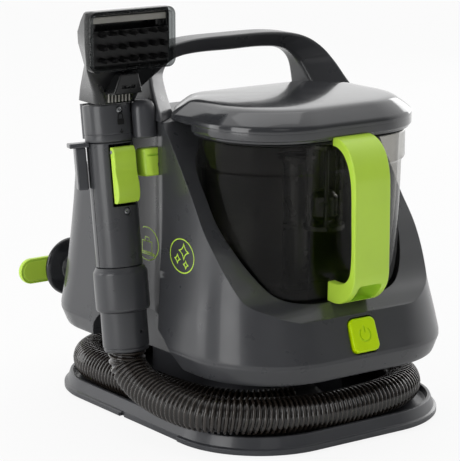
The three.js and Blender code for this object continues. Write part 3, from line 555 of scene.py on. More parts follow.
def base_tray():
    tray = stacked(
        base_ring, (0.7, 0), (0, 0.7), (0, 4.3), (0.7, 5), (2.2, 5.2), (2.6, 5.6), (5.1, 13.3), (5.6, 14.2),
        (6.4, 14.5),
    )
    channel = stacked(base_ring, (11, 8.5), (9.3, 9), (8.6, 14), (7.4, 15.5))
    waist = stacked(waist_ring, (0, WAIST["bottom"]), (0, WAIST["top"]))
    underside = stacked(base_ring, (6, -1), (6, 5.5))
    plain_side = block(3, 86, 5.4, BASE["x"] - BASE["half"] + 0.6, -38, 2.5)
    notch = block(5, 5, 3.6, BASE["x"] - BASE["half"] + 1.5, 6, 1.6)
    piece("base_tray_shell", joined(cut(tray, channel, underside, plain_side, notch), waist), "mid_grey",
          "body", ["base_tray"])


def foot_and_screw(index, side_x, side_y):
    foot = turned([(0, -2), (11.6, -2), (12.6, -1.7), (13.6, -1.1), (13.9, -0.4), (13.4, -GAP), (0, -GAP)])
    tread = [turned([(r, -2.0), (r + 0.8, -2.0), (r + 0.8, -1.5), (r, -1.5)]) for r in (3, 6, 9)]
    foot = cut(foot, *[moved(t, 0, 0, -0.2) for t in tread])
    piece(f"foot_{index}", moved(foot, FOOT_AT[0] * side_x, FOOT_AT[1] * side_y), "rubber", "body",
          [f"rubber_foot_{index}"])
    head = turned([(0, -1.7), (2.2, -1.7), (2.9, -1.4), (3.3, -0.9), (3.4, -GAP), (0, -GAP)], 32)
    cross = [block(3.6, 0.7, 1.2, 0, 0, -1.7), block(0.7, 3.6, 1.2, 0, 0, -1.7)]
    head = moved(cut(head, *cross), PAN_SCREW_AT[0] * side_x, PAN_SCREW_AT[1] * side_y)
    piece(f"pan_screw_{index}", head, "steel", "body", [f"base_screw_{index}"])


base_tray()
for index, (side_x, side_y) in enumerate(((-1, -1), (1, -1), (-1, 1), (1, 1)), 1):
    foot_and_screw(index, side_x, side_y)


# ---------------------------------------------------------------- body shell
DECK = 264.0
PART_LINE = 66.0
BODY_LEVELS = np.array([
    # z, half width, front, back, front radius, back radius
    (58, 118, -168, 156, 76, 60), (74, 123.5, -173, 161, 80, 62), (94, 120, -166, 160, 74, 62),
    (124, 115, -158, 158, 70, 60), (170, 110, -154, 152, 66, 54), (226, 109, -150, 146, 64, 54),
    (264, 109, -148, 140, 64, 54),
])
TOP_EDGE = [
    (-200, 108), (-160, 109.5), (-149, 117), (-134, 125), (-118, 145), (-103, 165), (-86.5, 185), (-70, 210),
    (-52.6, 234), (-30, DECK), (54, DECK), (68, 250), (88, 212), (104, 204), (200, 198),
]
TANK = {"half": 94, "front": -147, "back": -47, "radius": 64, "back_radius": 20}
BAY = {"half": 97, "front": -150, "back": -43, "radius": 68, "back_radius": 22, "bottom": 112}
TROUGH = {"x": -152, "y": -2, "radius": 48}
PORT_Y = -74
CLEAN = {"half": 76, "front": 84, "back": 151, "radius": 14, "top": 202}
CLEAN_BAY = {"half": 79, "front": 81, "bottom": 115}
ARCH = [
    (-76, 40), (-74, 56), (-62, 70), (-48, 82), (-30, 91), (-8, 95), (22, 95), (44, 88), (60, 74), (72, 56),
    (74, 40),
]


def body_size(z):
    """Half width, front, back and corner radii of the body outline at height z, smooth above the crease."""
    levels = BODY_LEVELS[1:]
    if z <= levels[0][0]:
        return [np.interp(z, BODY_LEVELS[:2, 0], BODY_LEVELS[:2, k]) for k in range(1, 6)]
    slopes = np.gradient(levels, levels[:, 0], axis=0)
    k = min(int(np.searchsorted(levels[:, 0], z)) - 1, len(levels) - 2)
    span = levels[k + 1][0] - levels[k][0]
    t = (z - levels[k][0]) / span
    low, high = levels[k], levels[k + 1]
    size = (
        low * (2 * t**3 - 3 * t**2 + 1) + slopes[k] * span * (t**3 - 2 * t**2 + t)
        + high * (3 * t**2 - 2 * t**3) + slopes[k + 1] * span * (t**3 - t**2)
    )
    return size[1:]


def body_ring(z, inset=0.0):
    half, front, back, front_radius, back_radius = body_size(z)
    return rounded_plan(
        half - inset, front + inset, back - inset, front_radius - inset, back_radius - inset, z, steps=28,
        between=12,
    )


def body_block():
    heights = [58, 59.2, 62, 66, 70, 72.4, 73.4, 74, 74.8, 76, 78, 81]
    heights += [85 + 4 * k for k in range(44)] + [260, 262.4, DECK]
    rings = []
    for z in sorted(set(heights)):
        inset = {58: 1.4, 59.2: 0.3, 73.4: 0.3, 74: 0.7, 74.8: 0.5, 76: 0.1, 262.4: 0.3, DECK: 1.4}.get(z, 0)
        rings.append(body_ring(z, inset))
    return through_rings(rings)


def above_top_edge():
    front_part, back_part = smooth_side(TOP_EDGE[1:10], 6), smooth_side(TOP_EDGE[10:14], 6)
    line = [TOP_EDGE[0], *front_part, *back_part, TOP_EDGE[-1]]
    return side_prism([*line, (200, 400), (-200, 400)], -200, 200)


def bay_block():
    def plan(extra, z):
        return rounded_plan(
            BAY["half"] - extra, BAY["front"] + extra, BAY["back"] - extra, BAY["radius"],
            BAY["back_radius"], z, steps=20,
        )
    bottom = BAY["bottom"]
    return stacked(plan, (7, bottom), (5.4, bottom + 0.6), (4.6, bottom + 2.4), (0, DECK + 20))


def trough(gap=0.0):
    """Space that the hand tool leaves down the side of the body."""
    return moved(rod(TROUGH["radius"] + gap, 30, 300, 96), TROUGH["x"], TROUGH["y"])


def hose_arch():
    return side_prism([ARCH[0], *smooth_side(ARCH[1:-1], 5), ARCH[-1]], -150, -96)


def half_space(rear):
    if rear:
        return block(500, 400, 500, 0, PART_LINE + 200, 150)
    return block(500, 400, 500, 0, PART_LINE - GAP - 200, 150)


BUTTON_AT = (0, -166.5, 91.5)
BUTTON_LEAN = atan2(8, 20)


def at_button(mesh):
    return moved(turned_by(mesh, pi / 2 - BUTTON_LEAN, "X"), *BUTTON_AT)


def body_shells():
    whole = cut(body_block(), above_top_edge(), bay_block(), trough(), hose_arch())
    port = moved(rod(15, 102, 122), 0, PORT_Y)
    pocket = at_button(moved(round_block(29.6, 31.6, 18, 6.5), 0, 0, 1))
    front = cut(whole.copy(), half_space(rear=True), port, pocket)
    piece("front_moulding", front, "dark_grey", "body", ["front_shell"])
    clean_bay = block(2 * CLEAN_BAY["half"], 200, 200, 0, CLEAN_BAY["front"] + 100, CLEAN_BAY["bottom"] + 100)
    grille_opening = block(88, 60, 22, 0, 170, 95)
    inlet = moved(turned_by(rod(8.3, -40, 40), pi / 2, "X"), 0, 180, 70)
    rear = cut(whole, half_space(rear=False), clean_bay, grille_opening, inlet)
    piece("rear_moulding", rear, "dark_grey", "body", ["rear_housing"])


body_shells()


# ---------------------------------------------------------------- carry handle
HOOP = np.array([
    # outer X and Z, inner X and Z, front at the outer and inner edge, back
    (109, 264.3, 79, 264.3, -29, -4, 38), (105, 282, 77, 280, -12, 9, 38), (99.5, 299, 73.5, 296, 2, 20, 39),
    (90, 311, 66, 304.5, 9, 23, 40), (75, 319.5, 54, 309, 13, 24, 41), (48, 324.5, 35, 311, 14.5, 24, 42),
    (0, 325.5, 0, 311, 15, 24, 42),
])


def hoop_section(outer_x, outer_z, inner_x, inner_z, front_outer, front_inner, back):
    """Rounded four-cornered section of the handle at one station."""
    outer, inner = Vector((outer_x, outer_z)), Vector((inner_x, inner_z))
    corners = [(inner, front_inner), (outer, front_outer), (outer, back), (inner, back)]
    corners = [Vector((p.x, y, p.y)) for p, y in corners]
    thickness = (outer - inner).length
    section = []
    for k, corner in enumerate(corners):
        before, after = corners[k - 1], corners[(k + 1) % 4]
        section += bend(before, corner, after, min(4.5, thickness * 0.28), 5)
    return section


def carry_handle():
    right = [Vector(row[:3]) for row in HOOP]
    stations = []
    tables = []
    for first in (0, 2, 4):
        width = min(2, 7 - first)
        tables.append([[*row[first:first + width], 0][:3] for row in HOOP])
    tables.append([[row[6], 0, 0] for row in HOOP])
    smooth = []
    for table in tables:
        mirror = []
        for k, values in enumerate(table[-2::-1]):
            flip = -1 if table in (tables[0], tables[1]) else 1
            mirror.append([values[0] * flip, *values[1:]])
        smooth.append(catmull([Vector(v) for v in [*table, *mirror]], 6))
    for outer, inner, fronts, back in zip(*smooth):
        stations.append(hoop_section(outer.x, outer.y, inner.x, inner.y, fronts.x, fronts.y, back.x))
    recess = block(60, 11, 9.5, 0, 33, 309.75)
    piece("carry_hoop", cut(through_rings(stations), recess), "dark_grey", "body", ["carry_handle"])
    pad = softened(block(59, 10, 2.2, 0, 33, 312.9), 0.6)
    ribs = [softened(block(2.2, 8.4, 1.2, 5.2 * k, 33, 311.6), 0.4) for k in range(-5, 6)]
    piece("grip_pad", gathered(pad, *ribs), "mid_grey", "body", ["handle_liner"])


carry_handle()


# ---------------------------------------------------------------- power button
def power_button():
    cap = softened(round_block(27, 29, 8, 5.5), 1.8, 4)
    cap = joined(cap, rod(4, -15, 0, 24))
    groove = [
        Vector((5.6 * sin(a), 5.6 * cos(a), 0)) for a in np.linspace(radians(38), radians(322), 40)
    ]
    ring_cut = strip_solid(groove, 1.2, 3.4, 4.6)
    bar_cut = strip_solid([Vector((0, 1.4, 0)), Vector((0, 7.4, 0))], 1.2, 3.4, 4.6)
    piece("button_cap", at_button(cut(cap, ring_cut, bar_cut)), "button_green", "button", ["power_button"])


def strip_solid(line, width, bottom, top):
    """A flat bar of constant width along a line in plan."""
    left, right = [], []
    for k, point in enumerate(line):
        ahead = line[min(k + 1, len(line) - 1)] - line[max(k - 1, 0)]
        side = Vector((-ahead.y, ahead.x, 0)).normalized() * width / 2
        left.append(point + side)
        right.append(point - side)
    outline = left + right[::-1]
    return through_rings([[p + Vector((0, 0, z)) for p in outline] for z in (bottom, top)])


power_button()


# ---------------------------------------------------------------- rear fittings
def exhaust_grille():
    rails = [softened(block(86.8, 4, 2, 0, 0, z), 0.5) for z in (-9.6, 9.6)]
    posts = [softened(block(2, 4, 19.6, x, 0, 0), 0.5) for x in (-42.4, 0, 42.4)]
    slats = [
        moved(turned_by(softened(block(84, 3.6, 1.3, 0, 0, 0), 0.4), radians(-28), "X"), 0, 0, -7.2 + 3.6 * k)
        for k in range(5)
    ]
    piece("outlet_grille", moved(gathered(*rails, *posts, *slats), 0, 155, 95), "black", "body",
          ["exhaust_grille"])


def cord_grommet():
    profile = [(0, -12), (7.6, -12), (8, -11.6), (8, 3), (10.6, 3.3), (11, 3.8), (11, 5.5), (10.4, 6)]
    for k in range(3):
        z = 6 + 2.5 * k
        wide = 9.2 - 1.5 * k
        profile += [
            (wide - 1.6, z + 0.4), (wide - 1.6, z + 1.1), (wide - 0.4, z + 1.4), (wide - 0.5, z + 2.4),
        ]
    profile += [(4.6, 13.8), (4, 14), (0, 14)]
    piece("cord_bush", moved(turned_by(turned(profile), -pi / 2, "X"), 0, 158.3, 70), "rubber", "body",
          ["cord_inlet_grommet"])


HOOK = {"x": 66, "z": 91, "reach": 42}
HOOK_BACK = 161.3


def stadium(reach, radius, steps=16):
    """Outline of a hook arm in its own plane: a bar with a round tip, and a round boss about the axis."""
    tip = [(reach + radius * cos(a), radius * sin(a)) for a in np.linspace(-pi / 2, pi / 2, steps)]
    boss_radius = radius + 3
    start = pi - atan2(radius, (boss_radius**2 - radius**2) ** 0.5)
    boss = [
        (boss_radius * cos(a), boss_radius * sin(a))
        for a in np.linspace(pi - start, pi + start, 2 * steps)
    ]
    return tip + boss


def arm_prism(side, radius, from_y, to_y):
    return front_prism([(side * x, z) for x, z in stadium(HOOK["reach"], radius)], from_y, to_y)


def cord_hook(side, name):
    drum = turned([
        (0, 0), (19, 0), (17.6, 0.8), (15, 2.6), (13.4, 5), (13, 8), (13, 21), (14, 22.6), (24, 25.8),
        (26.8, 27), (27.8, 28.2), (28, 29.4), (27.7, 30.4), (27, 31), (25.4, 30.7), (23.5, 30.3), (0, 30.3),
    ], 72)
    drum = moved(turned_by(drum, -pi / 2, "X"), side * HOOK["x"], HOOK_BACK, HOOK["z"])
    behind = block(120, 60, 120, side * HOOK["x"], HOOK_BACK - 30, HOOK["z"])
    piece(f"{name}_cord_drum", cut(drum, behind), DISC_FACE, "body", [f"{name}_hook_drum"])
    outer = softened(arm_prism(side, 12, -2.5, 2.5), 0.9)
    pads = [softened(arm_prism(side, 9, y - 0.35, y + 0.35), 0.3, 2) for y in (-2.4, 2.4)]
    lines = [ring_groove(side, 10.2, y) for y in (-2.5, 2.5)]
    arm = moved(gathered(cut(outer, *lines), *pads), side * HOOK["x"], HOOK_BACK + 33.8, HOOK["z"])
    piece(f"{name}_cord_arm", arm, "green", f"{name}_hook", [f"{name}_hook_arm"])


def ring_groove(side, radius, y):
    """Shallow groove that follows the arm's outline."""
    ring = arm_prism(side, radius + 0.5, y - 0.4, y + 0.4)
    return cut(ring, arm_prism(side, radius - 0.5, y - 1, y + 1))


exhaust_grille()
cord_grommet()
for side, name in ((-1, "left"), (1, "right")):
    cord_hook(side, name)


# ---------------------------------------------------------------- clean water tank
def clean_tank():
    def plan(inset, grow, z):
        radius = CLEAN["radius"] - inset
        return rounded_plan(
            CLEAN["half"] - inset, CLEAN["front"] + inset, CLEAN["back"] - inset + grow, radius, radius, z,
            steps=12,
        )
    outside = stacked(
        plan, (2.4, 0, 118), (1, 2, 118.6), (0, 4, 121), (0, 3.4, 130), (0, 0.6, 160), (0, -1, 170),
        (0, -5, 190), (0, -7, 198), (1, -7, 200.6), (3, -7, 202),
    )
    inside = stacked(plan, (4, 0, 121), (4, -1, 170), (6, -7, 199))
    neck_y = (CLEAN["front"] + CLEAN["back"]) / 2 - 2
    neck = moved(turned([(0, 196), (17, 196), (17, 207.4), (16.4, 208), (0, 208)]), 0, neck_y)
    throat = moved(rod(13.5, 192, 210), 0, neck_y)
    marks = [
        softened(block(9 if k % 2 else 15, 1.4, 1, 52, CLEAN["back"] + 3.2 - 0.1 * k, 132 + 10 * k), 0.3, 2)
        for k in range(5)
    ]
    shell = cut(joined(outside, neck), inside, throat, moved(rod(6, 114, 124), 0, CLEAN["front"] + 14))
    piece("clean_tank_shell", gathered(shell, *marks), "smoked_clear", "clean_tank_body", ["clean_tank"])
    cap = turned([
        (0, 0.5), (12.6, 0.5), (12.9, 0.9), (12.9, 6.3), (19.4, 6.3), (20, 6.9), (20, 13.4), (19.4, 14.8),
        (17.6, 16.4), (16, 17), (12, 17), (11.6, 16.4), (0, 16.2),
    ], 96)
    grooves = [
        moved(turned_by(rod(0.8, 5, 20, 12), 0, "X"), 20.4 * cos(a), 20.4 * sin(a))
        for a in np.arange(28) * 2 * pi / 28
    ]
    piece("filler_cap", moved(cut(cap, gathered(*grooves)), 0, neck_y, CLEAN["top"]), "green", "cap",
          ["clean_tank_cap"])


clean_tank()


# ---------------------------------------------------------------- dirty water tank
def tank_ring(inset, z):
    return rounded_plan(
        TANK["half"] - inset, TANK["front"] + inset, TANK["back"] - inset, TANK["radius"] - inset / 2,
        TANK["back_radius"] - inset / 2, z, steps=24,
    )


def dirty_tank():
    outside = stacked(
        tank_ring, (11, 115), (9, 115.8), (6.6, 118), (5.2, 121), (5, 124), (3.6, 180), (2.5, 226),
        (2.3, 228), (1.6, 229.2), (0.5, 230.2), (0, 231.4), (0, 253.2), (0.6, 254),
    )
    inside = stacked(tank_ring, (11, 118), (8, 122), (4, 259))
    drain = moved(rod(12, 110, 120), 0, PORT_Y)
    piece("dirty_tank_shell", cut(outside, inside, drain), "smoked_clear", "dirty_tank_body", ["dirty_tank"])


STRAP = {"half": 18.8, "front": -178.0, "bottom": 139.0, "top": 260.0}


def strap_handle():
    """Band over the front of the tank, with a window that parts its foot into two cheeks."""
    front, bottom, top = STRAP["front"], STRAP["bottom"], STRAP["top"]
    outer = smooth_side((
        (-140, top - 2), (-150, top - 0.5), (-160, top - 3), (-168, top - 9), (-174, top - 19),
        (-177.3, top - 32), (front, top - 46),
        (front, (top + bottom) / 2), (front, bottom + 12), (front + 0.2, bottom + 4),
        (front + 2.4, bottom - 4), (front + 9, bottom - 13), (front + 18, bottom - 19),
        (front + 26, bottom - 20.6), (-140, bottom - 20),
    ), 8)
    inner = smooth_side((
        (-140, bottom - 3), (front + 22, bottom - 3), (front + 12, bottom + 1), (front + 7, bottom + 9),
        (front + 6, (top + bottom) / 2), (front + 6.4, top - 46), (front + 7.6, top - 34),
        (front + 11.5, top - 22), (front + 18, top - 13), (front + 27, top - 8.5), (-140, top - 9),
    ), 8)
    strap = softened(side_prism(outer + inner, -STRAP["half"], STRAP["half"]), 2.2, 4, 60)
    skin = stacked(tank_ring, (4.7, 110), (4.7, 124), (2.2, 227), (-0.3, 230), (-0.3, 274))
    window = softened(block(25, 100, 15.5, 0, front + 30, bottom - 10), 3)
    piece("tank_strap", cut(strap, skin, window), "green", "dirty_tank_body", ["tank_handle"])


dirty_tank()
strap_handle()


# ---------------------------------------------------------------- tank lid
LID = {"half": 100, "front": -149.5, "back": -44.6, "radius": 66, "back_radius": 20}


def lid_ring(inset, z):
    return rounded_plan(
        LID["half"] - inset, LID["front"] + inset, LID["back"] - inset, LID["radius"] - inset,
        max(LID["back_radius"] - inset, 4), z, steps=24,
    )


# plan of the lid above the deck: x, y and corner radius, right half from the front; the shoulders pass
# before the feet of the carry handle and the tail lies between them
LID_CROWN = [(LID["half"], LID["front"], LID["radius"]), (LID["half"], -26, 9), (78, -8, 9), (75.5, 7, 13)]


def crown_ring(share, z):
    """Outline of the lid above the deck, drawn in towards its middle by a share."""
    corners = LID_CROWN + [(-x, y, r) for x, y, r in LID_CROWN[::-1]]
    points = [Vector((x, y, z)) for x, y, _ in corners]
    ring = []
    for k, (point, (_, _, radius)) in enumerate(zip(points, corners)):
        before, after = points[k - 1], points[(k + 1) % len(points)]
        start = point + (before - point).normalized() * radius
        end = point + (after - point).normalized() * radius
        steps = 24 if radius > 20 else 8
        for step in range(steps + 1):
            t = pi / 2 * step / steps
            ring.append(start + (point - start) * sin(t) + (end - point) * (1 - cos(t)))
    return scaled(ring, share, z)


def tank_lid():
    rim = 256.1
    skirt = through_rings([lid_ring(inset, rim + rise) for inset, rise in (
        (5.6, 0), (4, 0.3), (2.2, 0.6), (1.8, 1.2), (1.6, 2.4), (1.2, 2.8), (0.3, 3.2), (0, 3.8), (0, 9),
        (1, 12),
    )])
    crown = through_rings([crown_ring(share, rim + rise) for share, rise in (
        (0.985, 8.6), (0.995, 8.9), (0.999, 9.4), (1, 10.2), (0.999, 12.6), (0.994, 14.2), (0.984, 15.6),
        (0.93, 20.2), (0.875, 24.2), (0.85, 25.6), (0.82, 26.5), (0.78, 27), (0.7, 27.4), (0.5, 27.8),
        (0.1, 27.9),
    )])
    inside = stacked(lid_ring, (17, rim - 1), (20, rim + 18))
    cover = piece("lid_cover", cut(joined(skirt, crown), inside), LID_GLOSS, "lid", ["tank_lid"])
    seal = stacked(tank_ring, (1.2, 254.3), (0.5, 254.7), (0.5, 255.4), (1.2, 255.8))
    opening = stacked(tank_ring, (3.8, 250), (3.8, 260))
    piece("lid_gasket", cut(seal, opening), "rubber", "lid", ["lid_seal"])


tank_lid()


# ---------------------------------------------------------------- hand tool
WAND_FOOT = Vector((-140, -18.5, 68))
WAND_LEAN = radians(7.6)
WAND = {"radius": 20.0, "bore": 16.5, "sleeve_top": 73.0, "tube_top": 180.0, "collar_top": 212.0}
TRIGGER = {"half": 10.8, "bottom": 127.0, "top": 177.0}
LOW_SCREW = 121.0
HIGH_SCREW = 207.0


def on_wand(mesh):
    mesh.transform(Matrix.Translation(WAND_FOOT) @ Matrix.Rotation(-WAND_LEAN, 4, "X"))
    return mesh


def half_tube(from_angle, to_angle, outer, inner, bottom, top):
    """Half of a tube along its axis with softened rims."""
    angles = np.linspace(from_angle, to_angle, 49)

    def section(out, into, z):
        return [Vector((out * cos(a), out * sin(a), z)) for a in angles] + [
            Vector((into * cos(a), into * sin(a), z)) for a in angles[::-1]
        ]
    heights = [bottom + 0.8 + (top - bottom - 1.6) * k / 12 for k in range(13)]
    rings = [section(outer - 0.8, inner, bottom)]
    rings += [section(outer, inner, z) for z in heights]
    rings += [section(outer - 0.8, inner, top)]
    return through_rings(rings)


def across_front(mesh, height, skin):
    """Turns a part made along +Z to point out of the front of the hand tool."""
    return moved(turned_by(mesh, pi / 2, "X"), 0, -skin, height)


def screw_hole(height, skin):
    return across_front(rod(3.4, -2.4, 4, 32), height, skin)


def wand_tube():
    bottom, top = WAND["sleeve_top"] + GAP, WAND["tube_top"]
    seam = 0.35 / WAND["radius"]
    front = half_tube(-pi + seam, -seam, WAND["radius"], WAND["bore"], bottom, top)
    slot = block(2 * TRIGGER["half"] + 1.2, 40, 53, 0, -20, (TRIGGER["top"] + TRIGGER["bottom"]) / 2)
    front = cut(front, slot, screw_hole(LOW_SCREW, WAND["radius"]))
    piece("wand_front", on_wand(front), "dark_grey", "tool", ["wand_front_shell"])
    rear = half_tube(seam, pi - seam, WAND["radius"], WAND["bore"], bottom, top)
    piece("wand_back", on_wand(rear), "dark_grey", "tool", ["wand_rear_shell"])


def wand_ends():
    cuff = turned([
        (15.5, 0.4), (16, 0), (18.2, 0), (19, 0.5), (19.3, 1.4), (19.3, 2.6), (18.9, 3), (18.9, 3.4),
        (19.6, 3.8), (20, 4.4), (20, 34.6), (19.6, 35), (15.5, 35),
    ], 96)
    pin_hole = across_front(rod(1.5, -3, 4, 24), 17, WAND["radius"])
    dimple = turned_by(pin_hole, radians(12), "Z")
    piece("cuff_body", on_wand(cut(cuff, dimple)), "dark_grey", "tool", ["hose_cuff"])
    sleeve = turned([
        (16.5, 35.3), (21.8, 35.3), (22.5, 35.7), (23.1, 36.8), (23.4, 38.2), (23.4, 67.6), (23.1, 68.8),
        (22.4, 70), (21.4, 71.6), (21, 72.6), (20.6, 73), (16.5, 73),
    ], 96)
    piece("sleeve_body", on_wand(sleeve), "dark_grey", "tool", ["wand_sleeve"])
    collar = turned([
        (16.5, 180.3), (19.6, 180.3), (20.3, 180.7), (20.6, 181.4), (20.6, 186), (20.2, 186.4), (20.2, 187),
        (20.6, 187.4), (20.6, 210.8), (20.2, 211.6), (19.4, 212), (16.5, 212),
    ], 96)
    collar = cut(collar, screw_hole(HIGH_SCREW, 20.6))
    piece("collar_body", on_wand(collar), "dark_grey", "tool", ["wand_collar"])


def cross_head_screw(index, height, skin):
    head = turned([(0, -2.2), (2.9, -2.2), (2.9, -0.8), (2.4, -0.3), (1.4, 0), (0, 0)], 32)
    cross = [block(3.4, 0.7, 1.4, 0, 0, 0), block(0.7, 3.4, 1.4, 0, 0, 0)]
    head = on_wand(across_front(cut(head, *cross), height, skin - 0.3))
    piece(f"tool_screw_{index}", head, "steel", "tool", [f"wand_screw_{index}"])


def padlock_emblem():
    """A plain closed padlock over a small arrow that points down, raised on the front of the collar."""
    shackle = [Vector((2.2 * cos(a), 1.4 + 2.4 * sin(a), 0)) for a in np.linspace(0, pi, 14)]
    shackle = [Vector((2.2, -1, 0))] + shackle + [Vector((-2.2, -1, 0))]
    marks = gathered(
        strip_solid(shackle, 0.9, 0, 0.5), moved(round_block(6.4, 5, 0.5, 0.8), 0, -3, 0.25),
        strip_solid([Vector((0, -9, 0)), Vector((0, -12.6, 0))], 0.8, 0, 0.5),
        strip_solid([Vector((-1.6, -11, 0)), Vector((0, -12.8, 0)), Vector((1.6, -11, 0))], 0.8, 0, 0.5),
    )
    piece("lock_emblem", on_wand(across_front(marks, 200, 20.5)), EMBLEM, "tool")


def side_block():
    turn, reach = 0.42, WAND["radius"] + 4
    body = softened(block(9, 16, 36, -2, 0, 159), 1.4)
    flange = softened(block(17, 20, 4, -3, 0, 179), 1.0)
    mesh = turned_by(joined(body, flange), -turn, "Z")
    mesh = moved(mesh, -reach * cos(turn), reach * sin(turn))
    skins = [rod(20.3, 100, 180), rod(20.9, 179.7, 220)]
    piece("latch_block", on_wand(cut(mesh, *skins)), "mid_grey", "tool", ["wand_side_block"])


def trigger():
    bottom, top = TRIGGER["bottom"], TRIGGER["top"]
    outline = smooth_side((
        (-17.2, bottom + 1), (-22, bottom + 1.4), (-24.9, bottom + 6), (-25.5, bottom + 16),
        (-23.2, top - 22), (-23.4, top - 12), (-23.0, top - 5), (-21, top - 1.4), (-17.2, top - 1),
    ), 6)
    mesh = side_prism(outline, -TRIGGER["half"], TRIGGER["half"])
    piece("trigger_paddle", on_wand(softened(mesh, 3.6, 5, 60)), "green", "trigger", ["spray_trigger"])


wand_tube()
wand_ends()
cross_head_screw(1, LOW_SCREW, WAND["radius"])
cross_head_screw(2, HIGH_SCREW, WAND["radius"] + 0.6)
padlock_emblem()
side_block()
trigger()


# ---------------------------------------------------------------- nozzle
HEAD = {"x": -136.0, "half": 42.5, "front": -20.0, "bottom": 311.0, "top": 362.0, "rim": 8.0}
NECK_Y = WAND_FOOT.y + tan(WAND_LEAN) * (WAND["collar_top"] + 2)
NECK_Z = WAND_FOOT.z + WAND["collar_top"] + 4


def head_ring(z, front_half, back_half, front, back, x=HEAD["x"], radius=3.0):
    """Trapezium section with rounded corners: wide at the front and narrow at the back."""
    corners = [
        Vector((x + front_half, front, z)), Vector((x + back_half, back, z)),
        Vector((x - back_half, back, z)), Vector((x - front_half, front, z)),
    ]
    ring = []
    for k, corner in enumerate(corners):
        ring += bend(corners[k - 1], corner, corners[(k + 1) % 4], radius, 6)
    return ring


def head_sections():
    foot_x, front = WAND_FOOT.x, HEAD["front"]
    half, bottom, top = HEAD["half"], HEAD["bottom"], HEAD["top"]
    return [
        (NECK_Z - 3, 20, 18, NECK_Y - 19, NECK_Y + 19, foot_x, 8),
        (NECK_Z + 8, 24, 17, NECK_Y - 21, NECK_Y + 17, foot_x, 7),
        (bottom + 2, half - 1, 24, front, NECK_Y + 2, HEAD["x"]),
        (bottom + 22, half, 34, front, 6, HEAD["x"]), (bottom + 32, half, 36.5, front, 3, HEAD["x"]),
        (top - 8, half, 38.5, front, -6, HEAD["x"]), (top - 2, half - 1, 39, front, -11.5, HEAD["x"]),
        (top - 1, half - 2.6, 38, front + 1, -12.6, HEAD["x"]),
    ]


def nozzle_head():
    rings = [head_ring(*section) for section in head_sections()]
    mouth = block(2 * HEAD["half"] - 9, 10, 41, HEAD["x"], HEAD["front"] - 1, 336.5)
    slot = block(60, 14, 9, HEAD["x"], HEAD["front"] + 8, 346)
    throat = through_rings([
        head_ring(NECK_Z - 5, 12, 10, NECK_Y - 14, NECK_Y + 14, WAND_FOOT.x),
        head_ring(NECK_Z + 10, 17, 11, NECK_Y - 16, NECK_Y + 12, WAND_FOOT.x),
        head_ring(321, 33.5, 20, -8, 5),
    ])
    head = cut(through_rings(rings), mouth, slot, throat)
    piece("head_body", head, "black", "nozzle", ["nozzle_head"])
    ribs = [
        softened(block(0.9, 2.2, 8.6, WAND_FOOT.x + 3.4 * k, NECK_Y - 20.4, NECK_Z + 2.8), 0.3, 2)
        for k in range(-3, 4)
    ]
    lip = softened(block(76, 2.4, 5.6, HEAD["x"], HEAD["front"] + 1.4, 353.6), 0.6)
    # the neck ribs are pale grey as a painted highlight along each rib
    piece("neck_ribs", gathered(*ribs), RIB_HIGHLIGHT_AND_LIP_GREY, "nozzle")
    piece("mouth_lip", lip, RIB_HIGHLIGHT_AND_LIP_GREY, "nozzle")


def hood():
    def frame_ring(inset, radius, y):
        plan = rounded_plan(
            HEAD["half"] - inset, HEAD["bottom"] + inset, HEAD["top"] - inset, radius, radius, steps=10,
        )
        return [Vector((p.x + HEAD["x"], y, p.y)) for p in plan]
    back = HEAD["front"] - GAP
    front = back - HEAD["rim"]
    rings = [frame_ring(*section) for section in (
        (0.6, 6.6, back), (0, 7, back - 0.8), (0, 7, front + 0.9), (0.5, 6.6, front + 0.2), (1.2, 6, front),
        (2.4, 5, front), (3.1, 4.4, front + 0.3), (3.4, 4, front + 1), (3.4, 4, back),
    )]
    piece("clear_hood", through_rings(rings, looped=True), "clear", "nozzle", ["nozzle_hood"])


def bristles():
    corners = ((-37, 316), (37, 316), (37, 345), (-37, 345))
    outline = [(HEAD["x"] + x, z) for x, z in corners]
    plate = softened(front_prism(outline, HEAD["front"] - 4, HEAD["front"] - 1), 0.7)
    dice = random.Random(7)
    hairs = bmesh.new()
    for row in range(3):
        for column in range(7):
            middle = Vector((HEAD["x"] + 10 * (column - 3), HEAD["front"] - 3.6, 321 + 11 * row))
            for _ in range(34):
                angle, reach = dice.uniform(0, 2 * pi), dice.uniform(0, 1) ** 0.5
                root = middle + Vector((3.1 * reach * cos(angle), 0, 2.6 * reach * sin(angle)))
                tip = root + Vector((
                    dice.uniform(-0.5, 0.5), -8.6 + dice.uniform(0, 0.5), dice.uniform(-0.5, 0.5),
                ))
                add_hair(hairs, root, tip, 0.32)
    piece("brush_strip", gathered(plate, hairs), BRISTLE, "nozzle", ["bristle_plate"])


def add_hair(mesh, root, tip, radius):
    """One bristle: a thin four-sided spike from its root to its tip."""
    around = [Vector((radius * cos(a), 0, radius * sin(a))) for a in (0, pi / 2, pi, 1.5 * pi)]
    low = [mesh.verts.new(root + offset) for offset in around]
    high = [mesh.verts.new(tip + (v.co - root) * 0.5) for v in low]
    for k in range(4):
        mesh.faces.new((low[k], low[(k + 1) % 4], high[(k + 1) % 4], high[k]))
    mesh.faces.new(high)
    mesh.faces.new(low[::-1])


